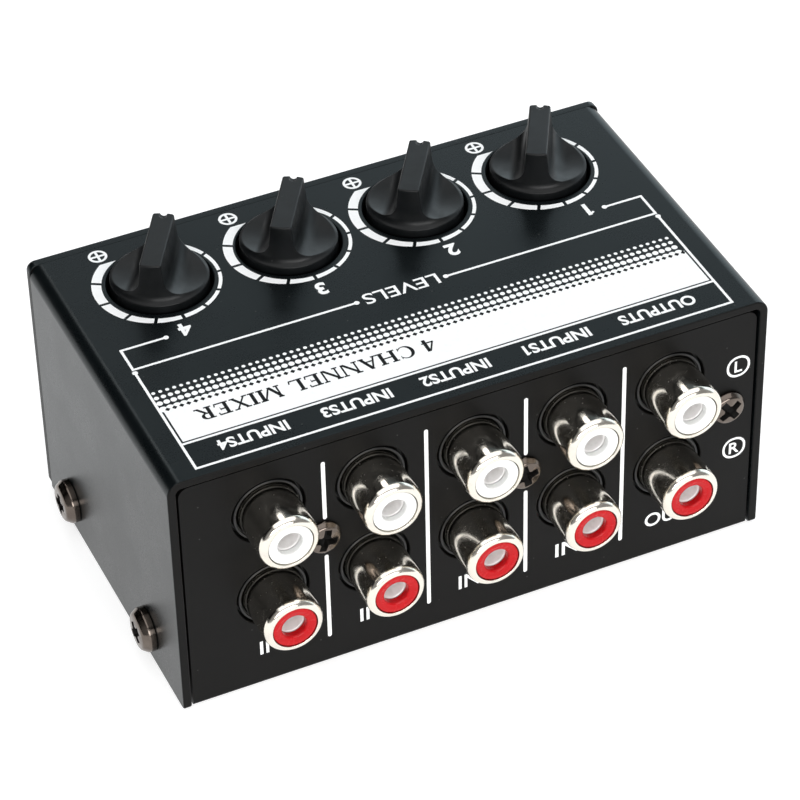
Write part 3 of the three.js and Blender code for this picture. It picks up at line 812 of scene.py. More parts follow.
def quad_at(number, inside, spot, axis):
    """The four cells round one grid edge, in the order that makes the face point outwards."""
    corners = []
    for du, dv in ((-1, -1), (0, -1), (0, 0), (-1, 0)):
        cell = spot.copy()
        cell[(axis + 1) % 3] += du
        cell[(axis + 2) % 3] += dv
        corners.append(int(number[tuple(cell)]))
    return corners if inside[tuple(spot)] else corners[::-1]


def gradient(distance, points):
    """The direction in which the distance grows fastest, one unit vector a point."""
    small = 0.01
    slopes = []
    for axis in range(3):
        shift = np.zeros(3)
        shift[axis] = small
        slopes.append(distance(*(points + shift).T) - distance(*(points - shift).T))
    slopes = np.stack(slopes, axis=1)
    return slopes / np.maximum(np.linalg.norm(slopes, axis=1), 1e-9)[:, None]


def settled(distance, points, furthest):
    """The points moved onto the surface, none by more than furthest in a step."""
    for _ in range(4):
        off = np.clip(distance(*points.T), -furthest, furthest)
        points = points - off[:, None] * gradient(distance, points)
    return points


def knob_mesh():
    """The knob as one mesh in metres: meshed finely, thinned where it is flat, put back on its surface."""
    reach = SKIRT_RADIUS + KNOB_MARGIN
    low = (-reach, -reach, HUB_BOTTOM - KNOB_MARGIN)
    high = (reach, reach, GRIP_TOP + KNOB_MARGIN)
    points, quads = surface_net(knob_distance, low, high, KNOB_GRID)
    points = settled(knob_distance, points, 0.05)
    data = bpy.data.meshes.new("knob")
    data.from_pydata((points * MM).tolist(), [], quads)
    thing = new_object("knob", data)
    thing.modifiers.new("thin", "DECIMATE").ratio = KNOB_KEPT_SHARE
    data = loose_mesh(thing)
    places = np.zeros(len(data.vertices) * 3)
    data.vertices.foreach_get("co", places)
    places = settled(knob_distance, places.reshape(-1, 3) / MM, 0.03)
    data.vertices.foreach_set("co", (places * MM).ravel())
    data.update()
    data.shade_smooth()
    data.normals_split_custom_set_from_vertices(gradient(knob_distance, places).tolist())
    return data


def make_knobs(material):
    data = knob_mesh()
    top = box_mm("top_cover")[1].z
    for i, turn in enumerate(KNOB_TURNS, 1):
        axis = centre_mm(f"pot_shaft_{i}")
        place = upright(axis.x, axis.y, top) @ Matrix.Rotation(math.radians(turn), 4, "Z")
        knob = placed(f"knob_cap_{i}", data, place)
        finished(knob, material, f"level_control_{i}", "knob", [f"knob_{i}"])


# ---- phono sockets

def jack_names(columns=("out", "in_1", "in_2", "in_3", "in_4")):
    return [f"{column}_{side}" for column in columns for side in ("right", "left")]


def sleeve_profile(root):
    """Plated sleeve with its rolled lip. Heights run from the panel's face."""
    return rounded([
        (SLEEVE_BORE, root, 0.1), (SLEEVE_RADIUS, root, 0.1),
        (SLEEVE_RADIUS, SLEEVE_REACH, LIP_HEIGHT), (LIP_OPENING, SLEEVE_REACH, 0.07),
        (LIP_OPENING, SLEEVE_REACH - 0.9, 0.1), (SLEEVE_BORE, SLEEVE_REACH - 1.2, 0.1),
    ], 10)


def insulator_profile(root):
    """Moulded insulator: a flat rim, a shallow dish and a pin hole with a soft edge."""
    face = SLEEVE_REACH - FACE_SET_BACK
    front = face - CONTACT_SET_BACK + 0.15
    pocket = CONTACT_RADIUS + 0.15
    return rounded([
        (pocket, root, 0), (INSULATOR_RADIUS, root, 0), (INSULATOR_RADIUS, face, 0.12),
        (2.5, face, 0.4), (2.15, face - 0.1, 0.3), (PIN_HOLE_RADIUS, face - 0.11, 0.36),
        (PIN_HOLE_RADIUS, front, 0.02), (pocket, front, 0.02),
    ], 8)


def contact_profile(root):
    front = SLEEVE_REACH - FACE_SET_BACK - CONTACT_SET_BACK
    return rounded([
        (0, root, 0), (CONTACT_RADIUS, root, 0.1), (CONTACT_RADIUS, front, 0.12),
        (CONTACT_BORE, front, 0.2), (1.2, front - 2.1, 0.6), (CONTACT_BORE, front - 4, 0.6),
        (CONTACT_BORE, root + 1, 0.1), (0, root + 1, 0),
    ], 6, closed=False)


def turned_part(name, profile, closed):
    """A turned part on the Z axis, its mesh ready to be shared."""
    return loose_mesh(shaded(made_object(name, tube_of(profile, 96, closed)), 50))


def make_sockets(nickel, plastics, contact):
    """A sleeve, an insulator ring and a contact for each socket, each turned a little differently."""
    face_y = box_mm("chassis")[1].y
    kinds = ("shell", "insulator", "contact")
    roots = {kind: box_mm(f"jack_{kind}_out_left")[0].y - face_y for kind in kinds}
    sleeve = turned_part("sleeve", sleeve_profile(roots["shell"]), True)
    ring = insulator_profile(roots["insulator"])
    rings = {side: turned_part(f"ring_{side}", ring, True) for side in plastics}
    socket = turned_part("pin_socket", contact_profile(roots["contact"]), False)
    slots = {"left": "insulator_white", "right": "insulator_red"}
    for i, name in enumerate(jack_names()):
        side = name.rsplit("_", 1)[1]
        place = on_panel(f"jack_shell_{name}", SOCKET_TURN * i)
        for piece, node, data, material, slot in (
            ("sleeve", "jack_shell", sleeve, nickel, "nickel"),
            ("ring", "jack_insulator", rings[side], plastics[side], slots[side]),
            ("pin_socket", "jack_contact", socket, contact, "contact"),
        ):
            finished(placed(f"{piece}_{name}", data, place), material, "root", slot, [f"{node}_{name}"])


def collar(place, foot):
    """The stepped ring of the moulding that shows between the sleeve and the panel."""
    step = -COLLAR_RECESS - COLLAR_STEP
    profile = rounded([
        (0, foot, 0), (COLLAR_RADIUS, foot, 0), (COLLAR_RADIUS, -COLLAR_RECESS, 0.14),
        (COLLAR_RADIUS - 0.33, -COLLAR_RECESS, 0.05), (COLLAR_RADIUS - 0.38, step, 0.05), (0, step, 0),
    ], 5, closed=False)
    return turned_mesh(tube_of(profile, HOLE_SIDES, False), place)


def bore(place, radius, foot, sides=HOLE_SIDES):
    """A round cutter from the foot out past the panel's face."""
    profile = [(0, foot), (radius, foot), (radius, 1), (0, 1)]
    return turned_mesh(tube_of(profile, sides, False), place)


def make_jack_block(name, columns, screw, material):
    """The black moulding behind the panel that carries a group of sockets and takes one screw."""
    low, high = box_mm(name)
    face_y = box_mm("chassis")[1].y
    front = face_y - SHEET - SKIN_GAP
    screw_z = centre_mm(screw).z
    nodes = [f"jack_shell_{jack}" for jack in jack_names(columns)]
    left = min(centre_mm(node).x for node in nodes) - BLOCK_WALL
    block = made_object(f"{name}_moulding", slab((left, low.y, low.z), (high.x, front, high.z)))
    eased(block, BLOCK_EDGE, 4)
    boss_low = (low.x, low.y + 4, screw_z - BOSS_HALF_HEIGHT)
    joined(block, slab(boss_low, (left + 2, front, screw_z + BOSS_HALF_HEIGHT)))
    for node in nodes:
        joined(block, collar(on_panel(node), front - face_y - 1))
    sleeve_root = box_mm("jack_shell_out_left")[0].y - SKIN_GAP
    for node in nodes:
        cut(block, bore(on_panel(node), SLEEVE_RADIUS + 0.2, sleeve_root - face_y))
        cut(block, bore(on_panel(node), CONTACT_RADIUS + 0.3, low.y + 2 - face_y))
    cut(block, bore(on_panel(screw), PANEL_HOLE_RADIUS, low.y + 3 - face_y, 48))
    finished(shaded(block), material, "root", "moulding", [name])


def make_jack_blocks(material):
    make_jack_block("jack_block_out", ["out"], "panel_screw_1", material)
    make_jack_block("jack_block_12", ["in_1", "in_2"], "panel_screw_2", material)
    make_jack_block("jack_block_34", ["in_3", "in_4"], "panel_screw_3", material)


# ---- screws

def wedge(top_half, bottom_half, height, depth):
    """A tapered four-sided punch, wide at the top."""
    mesh = bmesh.new()
    corners = ((-1, -1), (1, -1), (1, 1), (-1, 1))
    low, high = ([(sx * a, sy * b) for sx, sy in corners] for a, b in (bottom_half, top_half))
    capped(mesh, at_height(low, height - depth), at_height(high, height))
    bmesh.ops.recalc_face_normals(mesh, faces=mesh.faces)
    return mesh


def screw_mesh(name, head, shank, arm, shoulder, crown):
    """A cross-head screw on the Z axis, its seat at 0.

    The head and the shank are each a radius and a length. The shoulder and the crown shape the
    head's rim, as shares of its height.
    """
    (head_radius, height), (radius, length) = head, shank
    corners = [(0, -length, 0), (radius * 0.4, -length, 0)]
    for i in range(int((length - 1) / THREAD_PITCH)):
        foot = -length + 1 + i * THREAD_PITCH
        corners += [(radius * 0.82, foot, 0), (radius, foot + THREAD_PITCH / 2, 0)]
    corners += [
        (radius, 0, 0), (head_radius, 0, 0.08), (head_radius, height * shoulder, 0.5),
        (head_radius * 0.8, height * crown, 0.6), (head_radius * 0.4, height, 1.2), (0, height, 0),
    ]
    screw = made_object(name, tube_of(rounded(corners, 6, closed=False), HOLE_SIDES, False))
    top = height + 0.3
    depth = height * RECESS_SHARE + 0.3
    wide, narrow = SLOT_HALF_WIDTH
    cut(screw, wedge((arm, wide), (arm * RECESS_TAPER, narrow), top, depth))
    cut(screw, wedge((wide, arm), (narrow, arm * RECESS_TAPER), top, depth))
    wide, narrow = HUB_HALF_WIDTH
    hub = wedge((wide, wide), (narrow, narrow), top, depth + 0.05)
    cut(screw, turned_mesh(hub, Matrix.Rotation(math.radians(45), 4, "Z")))
    eased(screw, 0.05, 2, 35)
    return loose_mesh(shaded(screw, 40))


def in_recess(arm, head_height):
    """Picks the walls and the floor of the cross recess, which take the painted shade."""
    def chosen(centre, normal):
        steep = abs(normal.z) < 0.75 or centre.z < head_height * 0.5
        return math.hypot(centre.x, centre.y) < arm + 0.05 and centre.z > 0.02 and steep
    return chosen


def make_panel_screws(material, recess):
    """Flat-topped screws through the rear panel."""
    low, high = box_mm("panel_screw_1")
    radius, height = (high.x - low.x) / 2, high.y - box_mm("chassis")[1].y - SCREW_SEAT
    arm = radius * 0.74
    data = screw_mesh("panel_screw", (radius, height), PANEL_SHANK, arm, 0.3, 0.84)
    for i, turn in enumerate(PANEL_SCREW_TURNS, 1):
        screw = placed(f"panel_screw_head_{i}", data, on_panel(f"panel_screw_{i}", turn, SCREW_SEAT))
        finished(screw, material, "root", "screw", [f"panel_screw_{i}"])
    # The cross recess takes the near-black painted shade.
    second_paint(screw, recess, in_recess(arm, height))


def make_side_screws(material, recess):
    """Domed screws through the sides of the cover."""
    side_x = box_mm("top_cover")[1].x
    low, high = box_mm("side_screw_right_front")
    radius, height = (high.y - low.y) / 2, high.x - side_x - SCREW_SEAT
    arm = radius * 0.5
    data = screw_mesh("side_screw", (radius, height), SIDE_SHANK, arm, 0.46, 0.93)
    for name, turn in zip(side_screws(), SIDE_SCREW_TURNS):
        screw = placed(f"{name}_head", data, on_side(name, side_x + SCREW_SEAT, turn))
        finished(screw, material, "root", "screw", [name])
    # The cross recess takes the near-black painted shade.
    second_paint(screw, recess, in_recess(arm, height))


# ---- printing

class Print:
    """Flat ink shapes drawn in one plane in millimetres, a hair's breadth thick.

    The tops step down through a few heights, shape by shape, so that none lies exactly on its
    neighbour.
    """

    STEP = 0.03
    STEP_COUNT = 13

    def __init__(self):
        self.mesh = bmesh.new()
        self.count = 0

    def next_top(self):
        self.count += 1
        return 1 - self.STEP * (self.count % self.STEP_COUNT)

    def strip(self, first, second, closed=False, top=None):
        """Ink between two lines of as many points each."""
        rows = []
        for z in (0, top or self.next_top()):
            rows += [[self.mesh.verts.new((x, y, z)) for x, y in line] for line in (first, second)]
        low_a, low_b, high_a, high_b = rows
        count = len(first)
        for i in range(count if closed else count - 1):
            n = (i + 1) % count
            for a, b in ((high_a, high_b), (low_b, low_a), (low_a, high_a), (high_b, low_b)):
                self.mesh.faces.new((a[i], a[n], b[n], b[i]))
        if not closed:
            for i in (0, -1):
                self.mesh.faces.new((low_a[i], high_a[i], high_b[i], low_b[i]))

    def shape(self, outline):
        """Ink that fills an outline."""
        capped(self.mesh, at_height(outline, 0), at_height(outline, self.next_top()))

    def line(self, a, b, width=FINE_LINE):
        a, b = Vector(a), Vector(b)
        side = (b - a).orthogonal().normalized() * width / 2
        self.strip([tuple(a + side), tuple(b + side)], [tuple(a - side), tuple(b - side)])

    def dot(self, centre, radius, sides=24):
        self.shape(arc_points(centre, radius, 0, 360, sides)[:-1])

    def bar(self, a, b, width):
        """A line with round ends."""
        self.line(a, b, width)
        self.dot(a, width / 2)
        self.dot(b, width / 2)

    def ring(self, centre, radius, width):
        outer = arc_points(centre, radius, 0, 360, 48)[:-1]
        inner = arc_points(centre, radius - width, 0, 360, 48)[:-1]
        self.strip(outer, inner, closed=True)

    def words(self, text, centre, cap, width=None, weight=0.0):
        """Lettering with its box centred on the point, capitals of that height, stretched to the width."""
        curve = bpy.data.curves.new("words", "FONT")
        curve.body = text
        curve.extrude = 0.5
        curve.offset = weight
        curve.resolution_u = 6
        holder = new_object("words", curve)
        graph = bpy.context.evaluated_depsgraph_get()
        data = bpy.data.meshes.new_from_object(holder.evaluated_get(graph))
        bpy.data.objects.remove(holder)
        bpy.data.curves.remove(curve)
        places = np.array([v.co for v in data.vertices])
        low, high = places.min(0), places.max(0)
        tall = cap / (high[1] - low[1])
        wide = width / (high[0] - low[0]) if width else tall
        middle = (low + high) / 2
        stretched = Matrix.Diagonal((wide, tall, 1, 1)) @ Matrix.Translation((-middle[0], -middle[1], 0))
        data.transform(Matrix.Translation((centre[0], centre[1], 0.5)) @ stretched)
        self.mesh.from_mesh(data)
        bpy.data.meshes.remove(data)

    def flag(self, top, reach):
        """The slanted stroke that a figure one carries at its top."""
        width = reach * 0.5
        self.line((top[0], top[1] - width / 2), (top[0] - reach, top[1] - reach * 0.8), width)

    def made(self, name, plane, material, low=-0.01, high=INK_LIFT):
        """The ink as a piece on the plane, from low to high above it."""
        bmesh.ops.remove_doubles(self.mesh, verts=self.mesh.verts, dist=1e-5)
        bmesh.ops.recalc_face_normals(self.mesh, faces=self.mesh.faces)
        lift = Matrix.Translation((0, 0, low)) @ Matrix.Diagonal((1, 1, high - low, 1))
        turned_mesh(self.mesh, plane @ lift)
        return finished(made_object(name, self.mesh), material, "root")


# Serif capitals of height 1: (advance, shapes). A shape is a bar (x0, y0, x1, y1), a slanted
# stroke (x0, y0, x1, y1, width) or a bowl (centre, outer radii, inner centre, inner radii, from, to).
THICK = 0.2
THIN = 0.1


def stem(x, width=THICK, foot=True):
    """An upright with its flat serifs."""
    shapes = [("bar", x, 0, x + width, 1)]
    if foot:
        shapes.append(("bar", x - 0.1, 0, x + width + 0.1, THIN))
    shapes.append(("bar", x - 0.1, 1 - THIN, x + width + 0.1, 1))
    return shapes


def serif(x, y):
    return [("bar", x - 0.15, y, x + 0.15, y + THIN)]


def glyphs():
    top = 1 - THIN
    return {
        " ": (0.4, []),
        "I": (0.5, stem(0.17)),
        "H": (1.1, stem(0.15) + stem(0.8) + [("bar", 0.2, 0.47, 0.9, 0.47 + THIN)]),
        "L": (0.9, stem(0.15) + [("bar", 0.2, 0, 0.8, THIN), ("slant", 0.76, 0, 0.82, 0.27, 0.075)]),
        "E": (0.93, stem(0.15) + [
            ("bar", 0.2, top, 0.76, 1), ("slant", 0.76, 0.77, 0.73, 1, 0.075),
            ("bar", 0.2, 0.48, 0.58, 0.48 + THIN), ("bar", 0.56, 0.38, 0.6, 0.62),
            ("bar", 0.2, 0, 0.8, THIN), ("slant", 0.78, 0, 0.83, 0.26, 0.075)]),
        "N": (1.12, stem(0.17, THIN) + stem(0.9, THIN, False) + [
            ("slant", 0.9, 0, 0.15, 1, 0.2)] + [("bar", 0.02, top, 0.2, 1)]),
        "M": (1.36, stem(0.16, THIN) + stem(1.06) + [
            ("slant", 0.64, 0, 0.16, 1, 0.2), ("slant", 0.62, 0, 1.1, 1, 0.11)]),
        "A": (1.06, [("slant", 0.15, 0, 0.52, 1.02, 0.11), ("slant", 0.9, 0, 0.49, 1.02, 0.2),
                     ("bar", 0.27, 0.31, 0.74, 0.31 + THIN)] + serif(0.15, 0) + serif(0.88, 0)),
        "X": (1.06, [("slant", 0.86, 0, 0.2, 1, 0.2), ("slant", 0.16, 0, 0.84, 1, 0.11)]
              + serif(0.16, 0) + serif(0.86, 0) + serif(0.2, top) + serif(0.84, top)),
        "R": (1.04, stem(0.15) + [
            ("bar", 0.2, top, 0.48, 1), ("bar", 0.2, 0.47, 0.48, 0.47 + THIN),
            ("bowl", (0.46, 0.735), (0.32, 0.265), (0.44, 0.735), (0.15, 0.19), -90, 90),
            ("slant", 0.86, 0, 0.48, 0.49, 0.19), ("bar", 0.8, 0, 1.0, THIN)]),
        "C": (1.0, [("bowl", (0.53, 0.5), (0.48, 0.52), (0.58, 0.5), (0.33, 0.45), 42, 318),
                    ("bar", 0.85, 0.68, 0.89, 0.98), ("bar", 0.85, 0.02, 0.89, 0.27)]),
        "4": (0.78, [("slant", 0.06, 0.27, 0.46, 1, 0.11), ("bar", 0.03, 0.23, 0.7, 0.33),
                     ("bar", 0.41, 0, 0.41 + THICK, 1)]),
    }


def bowl_side(centre, radii, start, end, place, scale):
    unit = arc_points((0, 0), 1, start, end, 20)
    return [(place[0] + (centre[0] + radii[0] * x) * scale, place[1] + (centre[1] + radii[1] * y) * scale)
            for x, y in unit]


def serif_words(ink, text, end, foot, cap, width):
    """Serif capitals that end at x, stand on the foot line and fill the width."""
    letters = glyphs()
    step = width / sum(letters[c][0] for c in text)
    x = end - width
    for character in text:
        advance, shapes = letters[character]
        for kind, *v in shapes:
            if kind == "bowl":
                ink.strip(*(bowl_side(v[i], v[i + 1], v[4], v[5], (x, foot), cap) for i in (0, 2)))
                continue
            x0, y0, x1, y1 = v[:4]
            if kind == "bar":
                outline = [(x0, y0), (x1, y0), (x1, y1), (x0, y1)]
            else:
                half = v[4] / 2
                outline = [(x0 - half, y0), (x0 + half, y0), (x1 + half, y1), (x1 - half, y1)]
            ink.shape([(x + a * step, foot + b * cap) for a, b in outline])
        x += advance * step


# The top print, in millimetres from the middle of the cover
FRAME_X = 37.64
FRAME_TOP = 23.43
FRAME_FOOT = 2.87
BAND_X = 37.2
BAND_TOP = 18.04
BAND_FOOT = 11.12
DIVIDER_Y = 18.47
LEVELS_Y = 2.14
LEVELS_ENDS = (-6.53, 6.31)
BRACKET_FOOT = -2.13
BRACKET_ENDS = (-32.15, 31.39)
END_DOT = 0.38
DOT_PITCH = 0.954
DOT_START = -36.4
DOT_COLUMNS = 78
DOT_ROWS = ((BAND_FOOT, 0.55), (9.85, 0.42), (8.73, 0.34), (7.65, 0.26))
DIAMOND_START = -36.89
DIAMOND_Y = BAND_FOOT + 0.24
DIAMOND_RADIUS = 0.36
LABELS = (("OUTPUTS", -28.14, 10.95), ("INPUTS1", -13.6, 9.4), ("INPUTS2", 0.845, 9.55),
          ("INPUTS3", 14.62, 9.6), ("INPUTS4", 28.8, 9.5))
LABEL_Y = 20.63
LABEL_CAP = 2.0
NUMBER_X = (-29.74, -9.72, 9.21, 28.48)
NUMBER_Y = -2.65
NUMBER_CAP = 2.55
TITLE = "4 CHANNEL MIXER"
TITLE_END = 33.9
TITLE_FOOT = 12.97
TITLE_CAP = 2.42
TITLE_WIDTH = 33.2


def print_frame(ink):
    """The outline round the labels, the levels line below it and its two brackets."""
    for x in (-FRAME_X, FRAME_X):
        ink.line((x, FRAME_FOOT), (x, FRAME_TOP + FINE_LINE / 2))
        ink.dot((x, FRAME_FOOT), END_DOT)
        ink.line((x, BRACKET_FOOT - FINE_LINE / 2), (x, LEVELS_Y + FINE_LINE / 2))
    for y in (FRAME_TOP, DIVIDER_Y):
        ink.line((-FRAME_X, y), (FRAME_X, y))
    for y, ends in ((LEVELS_Y, LEVELS_ENDS), (BRACKET_FOOT, BRACKET_ENDS)):
        for edge, near in zip((-FRAME_X, FRAME_X), ends):
            ink.line((edge, y), (near, y))
            ink.dot((near, y), END_DOT)


def print_band(ink):
    """The white band that breaks up into dots towards the knobs."""
    top_edge, foot_edge = ([(-BAND_X, y), (BAND_X, y)] for y in (BAND_TOP, BAND_FOOT))
    ink.strip(top_edge, foot_edge, top=1.05)
    for y, radius in DOT_ROWS:
        for k in range(DOT_COLUMNS):
            ink.dot((DOT_START + k * DOT_PITCH, y), radius, 20)


def print_labels(ink):
    for text, x, width in LABELS:
        ink.words(text, (x, LABEL_Y), LABEL_CAP, width, 0.027)
        if text.endswith("1"):
            ink.flag((x + width / 2 - 0.2, LABEL_Y + LABEL_CAP / 2), 0.5)
    ink.words("LEVELS", (-0.13, 2.01), 2.2, 10.75, 0.008)
    for text, x in zip("1234", NUMBER_X):
        ink.words(text, (x, NUMBER_Y), NUMBER_CAP, None, 0.035)
        if text == "1":
            ink.flag((x, NUMBER_Y + 1.27), 0.66)


def circle_hit(point, way, centre, radius):
    """Where a line from the point first leaves the circle in that direction."""
    start = Vector(point) - Vector(centre)
    way = Vector(way).normalized()
    along = start.dot(way)
    return Vector(point) + way * (math.sqrt(along**2 - start.length_squared + radius**2) - along)


DIAL_X = (-27.3, -8.87, 9.42, 28.14)
DIAL_Y = -13.44
DIAL_RADIUS = 8.63
DIAL_INNER_RADIUS = 7.73
DIAL_INNER_SHIFT = (-0.4, 0.15)
DIAL_GAP = 0.46
DIAL_CUT = -6.7
DIAL_EYE = (-0.42, 1.4)
MARK_OFFSET = 5.05
MARK_DROP = 8.55
MARK_RADIUS = 1.3
MARK_STROKE = 0.95


def dial_edges():
    """Start and end lines of the ten dial segments, round a dial at the origin.

    The gaps between them point at the dial's eye, and the two ends are level.
    """
    cuts = [((0, DIAL_CUT), (1, 0), (0, DIAL_CUT), (1, 0))]
    for angle in range(-30, 211, 30):
        way = Vector((math.cos(math.radians(angle)), math.sin(math.radians(angle))))
        side = Vector((-way.y, way.x)) * DIAL_GAP / 2
        eye = Vector(DIAL_EYE)
        cuts.append((tuple(eye - side), tuple(way), tuple(eye + side), tuple(way)))
    cuts.append(((0, DIAL_CUT), (-1, 0), (0, DIAL_CUT), (-1, 0)))
    return [(a[2], a[3], b[0], b[1]) for a, b in zip(cuts, cuts[1:])]


def print_dial(ink, x):
    """A broken ring that widens clockwise, with its plus and minus marks."""
    circles = (((0, 0), DIAL_RADIUS), (DIAL_INNER_SHIFT, DIAL_INNER_RADIUS))
    for start, start_way, end, end_way in dial_edges():
        sides = []
        for centre, radius in circles:
            first = circle_hit(start, start_way, centre, radius) - Vector(centre)
            last = circle_hit(end, end_way, centre, radius) - Vector(centre)
            from_angle = math.degrees(math.atan2(first.y, first.x))
            to_angle = math.degrees(math.atan2(last.y, last.x))
            if to_angle < from_angle:
                to_angle += 360
            middle = (x + centre[0], DIAL_Y + centre[1])
            sides.append(arc_points(middle, radius, from_angle, to_angle, 12))
        ink.strip(*sides)
    mark_y = DIAL_Y - MARK_DROP
    for mark_x in (x - MARK_OFFSET, x + MARK_OFFSET):
        ink.ring((mark_x, mark_y), MARK_RADIUS, FINE_LINE)
        ink.line((mark_x - MARK_STROKE, mark_y), (mark_x + MARK_STROKE, mark_y))
    ink.line((mark_x, mark_y - MARK_STROKE), (mark_x, mark_y + MARK_STROKE))


def make_top_print(white, black):
    plane = upright(0, 0, box_mm("top_cover")[1].z)
    ink = Print()
    print_frame(ink)
    print_band(ink)
    print_labels(ink)
    for x in DIAL_X:
        print_dial(ink, x)
    ink.made("print_top_white", plane, white)
    dark = Print()
    serif_words(dark, TITLE, TITLE_END, TITLE_FOOT, TITLE_CAP, TITLE_WIDTH)
    for k in range(DOT_COLUMNS):
        dark.dot((DIAMOND_START + k * DOT_PITCH, DIAMOND_Y), DIAMOND_RADIUS, 4)
    dark.made("print_top_black", plane, black, INK_LIFT - 0.006, INK_LIFT + 0.012)


# The rear print, in millimetres in the panel's plane: X runs towards the box's left
REAR_BAR_FOOT = 4.65
REAR_BAR_TOP = 34.26
REAR_BAR_WIDTH = 0.55
WHOLE_BARS = (-6.96, 21.38)
BROKEN_BARS = (-21.27, 7.18)
BREAK = (18.5, 25.2)
WORDS = {"out": "OUT", "in_1": "IN1", "in_2": "IN2", "in_3": "IN3", "in_4": "IN4"}
WORDS_SHIFT = 0.23
WORDS_Z = 6.27
WORDS_CAP = 2.3
CHANNEL_MARKS = (("L", 38.35, 28.55), ("R", 38.3, 14.45))
CHANNEL_FRAME_SHARE = 0.81


def print_channel_mark(ink, letter, x, z):
    """A channel letter in a rounded frame."""
    half, corner = 1.73, 1.6
    outer = rounded([(x - half, z - half, corner), (x + half, z - half, corner),
                     (x + half, z + half, corner), (x - half, z + half, corner)], 8)
    inner = [(x + (px - x) * CHANNEL_FRAME_SHARE, z + (pz - z) * CHANNEL_FRAME_SHARE) for px, pz in outer]
    ink.strip(outer, inner, closed=True)
    ink.words(letter, (x, z), 1.85, None, 0.014)


def make_rear_print(white):
    face = box_mm("chassis")[1].y
    plane = Matrix(((-1, 0, 0, 0), (0, 0, 1, face), (0, 1, 0, 0), (0, 0, 0, 1)))
    ink = Print()
    for x in WHOLE_BARS:
        ink.bar((x, REAR_BAR_FOOT), (x, REAR_BAR_TOP), REAR_BAR_WIDTH)
    for x in BROKEN_BARS:
        ink.bar((x, REAR_BAR_FOOT), (x, BREAK[0]), REAR_BAR_WIDTH)
        ink.bar((x, BREAK[1]), (x, REAR_BAR_TOP), REAR_BAR_WIDTH)
    for column, text in WORDS.items():
        x = WORDS_SHIFT - centre_mm(f"jack_shell_{column}_left").x
        width = 6.6 if column == "out" else 4.98
        ink.words(text, (x, WORDS_Z), WORDS_CAP, width, 0.012)
        if text.endswith("1"):
            ink.flag((x + width / 2 - 0.24, WORDS_Z + WORDS_CAP / 2), 0.6)
    for letter, x, z in CHANNEL_MARKS:
        print_channel_mark(ink, letter, x, z)
    ink.made("print_rear_white", plane, white)


# ---- inside

def paint_node(name, material):
    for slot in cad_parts[name].material_slots:
        slot.material = material


def paint_inside(steel, moulding, board):
    controls = range(1, KNOB_COUNT + 1)
    steel_nodes = [f"{part}_{i}" for i in controls for part in ("pot_shaft", "pot_body")]
    for name in steel_nodes + ["board_spacer_left", "board_spacer_right"]:
        paint_node(name, steel)
    paint_node("board_header", moulding)
    paint_node("jack_board", board)
    paint_node("pot_board", board)


# ---- studio

CAMERA_AZIMUTH = 156.174
CAMERA_ELEVATION = 40.003
CAMERA_ROLL = -1.392
CAMERA_DISTANCE = 0.48875
CAMERA_LENS = 163.2
CAMERA_TARGET = (-0.175, 0.654, 18.661)


def make_camera():
    """A long lens that looks at the target from the azimuth and elevation, rolled about its axis."""
    a, e, r = (math.radians(v) for v in (CAMERA_AZIMUTH, CAMERA_ELEVATION, CAMERA_ROLL))
    back = Vector((math.sin(a) * math.cos(e), -math.cos(a) * math.cos(e), math.sin(e)))
    right = Vector((math.cos(a), math.sin(a), 0))
    up = back.cross(right)
    across = right * math.cos(r) + up * math.sin(r)
    above = up * math.cos(r) - right * math.sin(r)
    data = bpy.data.cameras.new("camera")
    data.lens = CAMERA_LENS
    data.sensor_width = 36
    data.clip_start, data.clip_end = 0.01, 50
    camera = new_object("camera", data)
    place = Matrix((across, above, back)).transposed().to_4x4()
    place.translation = Vector(CAMERA_TARGET) * MM + back * CAMERA_DISTANCE
    camera.matrix_world = place
    bpy.context.scene.camera = camera


def make_floor():
    """Pale paper that glows a little, just below the box."""
    mesh = bmesh.new()
    bmesh.ops.create_grid(mesh, x_segments=1, y_segments=1, size=3)
    data = bpy.data.meshes.new("floor")
    mesh.to_mesh(data)
    mesh.free()
    floor = new_object("floor", data)
    floor.location.z = -0.0002
    shader = Shader("floor_paper", (0.5, 0.5, 0.5), 0.9, Specular_IOR_Level=0.1)
    shader.set("Emission Color", (1, 1, 1, 1))
    shader.set("Emission Strength", 0.72)
    floor.data.materials.append(shader.material)


def area_light(name, place, target, size, power):
    data = bpy.data.lights.new(name, "AREA")
    data.shape = "RECTANGLE"
    data.size, data.size_y = size
    data.energy = power
    light = new_object(name, data)
    light.location = place
    light.rotation_euler = (Vector(target) - Vector(place)).to_track_quat("-Z", "Y").to_euler()


ROOM_WALL = (0.68, 0.79, 0.84)
ROOM_CORNICE = (0.68, 0.8, 0.86)
ROOM_CEILING = (0.045, 0.055, 0.06)
UNLIT_WALL = (0.85, -0.53, 0.0)
NEAR_WALL = (0.0, 0.97, 0.24)


def darkened(room, direction, colour, toward, reach, grey):
    """The colour fading to grey towards one side of the room."""
    facing = room.node("ShaderNodeVectorMath", operation="DOT_PRODUCT")
    facing.inputs[1].default_value = toward
    room.link(direction, facing.inputs[0])
    wall = room.node("ShaderNodeMapRange", From_Min=reach[0], From_Max=reach[1])
    room.link(facing.outputs["Value"], wall.inputs["Value"])
    shade = room.node("ShaderNodeMix", data_type="RGBA")
    shade.inputs["B"].default_value = (grey, grey, grey, 1)
    room.link(wall.outputs["Result"], shade.inputs["Factor"])
    room.link(colour, shade.inputs["A"])
    return shade.outputs["Result"]


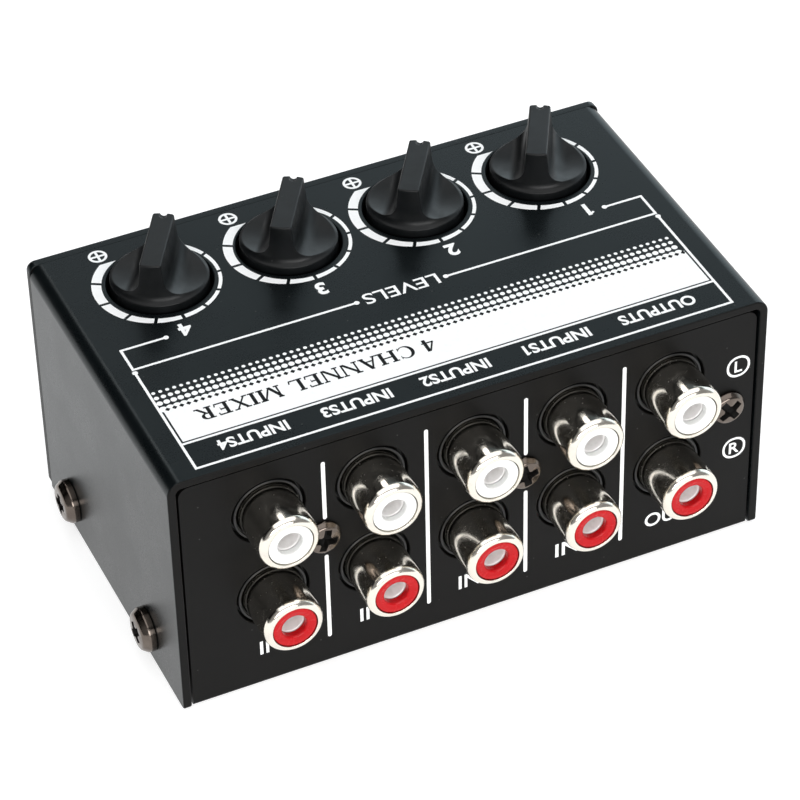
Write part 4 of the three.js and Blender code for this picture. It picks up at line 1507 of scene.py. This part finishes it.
def make_world():
    """A pale room that darkens towards the ceiling, with an unlit wall beyond the front right corner
    and a dim one behind the sockets.
    """
    world = bpy.data.worlds.new("room")
    bpy.context.scene.world = world
    world.use_nodes = True
    room = Nodes(world.node_tree)
    direction = room.node("ShaderNodeTexCoord").outputs["Generated"]
    split = room.node("ShaderNodeSeparateXYZ")
    ramp = room.node("ShaderNodeValToRGB")
    room.link(direction, split.inputs[0])
    room.link(split.outputs["Z"], ramp.inputs["Fac"])
    stops = ((0.0, ROOM_WALL), (0.51, ROOM_CORNICE), (0.64, ROOM_CEILING), (1.0, ROOM_CEILING))
    while len(ramp.color_ramp.elements) < len(stops):
        ramp.color_ramp.elements.new(0.5)
    for element, (position, colour) in zip(ramp.color_ramp.elements, stops):
        element.position = position
        element.color = (*colour, 1)
    unlit = darkened(room, direction, ramp.outputs["Color"], UNLIT_WALL, (0.12, 0.36), 0.004)
    near = darkened(room, direction, unlit, NEAR_WALL, (0.1, 0.4), 0.13)
    background = world.node_tree.nodes["Background"]
    room.link(near, background.inputs["Color"])
    background.inputs["Strength"].default_value = 2.0


def make_lights():
    area_light("overhead", (0.0, 0.25, 1.1), (0, 0.25, 0), (1.7, 1.6), 11.5)
    area_light("far_box", (-0.32, -0.73, 0.44), (0, 0, 0.04), (1.0, 0.38), 0.45)
    area_light("far_strip", (0.0, -0.8, 0.93), (0, 0, 0.04), (0.26, 0.36), 1.0)
    area_light("rear_fill", (0.15, 1.0, 0.36), (0, 0, 0.03), (1.1, 0.4), 8.6)


def set_film():
    view = bpy.context.scene.view_settings
    view.view_transform = "Standard"
    view.look = "None"
    view.exposure = 0
    view.gamma = 1


# ---- the whole

coat = paint("cover_paint", (0.0024, 0.0036, 0.0042), 0.29, 0.23, (0.8, 0.94, 0.97))
panel_coat = paint("panel_paint", (0.0042, 0.004, 0.0038), 0.4, 0.11)
moulding = socket_moulding()
plastics = {
    "left": insulator_plastic("insulator_white", (0.86, 0.865, 0.85), (0.78, 0.78, 0.75)),
    "right": insulator_plastic("insulator_red", (0.46, 0.004, 0.007), (0.38, 0.003, 0.005)),
}
dark_steel = screw_metal()
# Near-black painted shade for the screws' cross recesses
recess = painted_recess_shade()
steel = bare_steel()
board = board_laminate()
white_ink = screen_ink("white_ink", (0.95, 0.955, 0.955), (0.86, 0.87, 0.88), 0.4)
black_ink = screen_ink("black_ink", (0.004, 0.0044, 0.005), (0.01, 0.01, 0.011), 0.1)

make_cover(coat, panel_coat)
make_chassis(panel_coat, coat)
make_knobs(knob_plastic())
make_sockets(plating(), plastics, contact_metal_and_shade())
make_jack_blocks(moulding)
make_panel_screws(dark_steel, recess)
make_side_screws(dark_steel, recess)
make_top_print(white_ink, black_ink)
make_rear_print(white_ink)
paint_inside(steel, moulding, board)
make_camera()
make_floor()
make_world()
make_lights()
set_film()
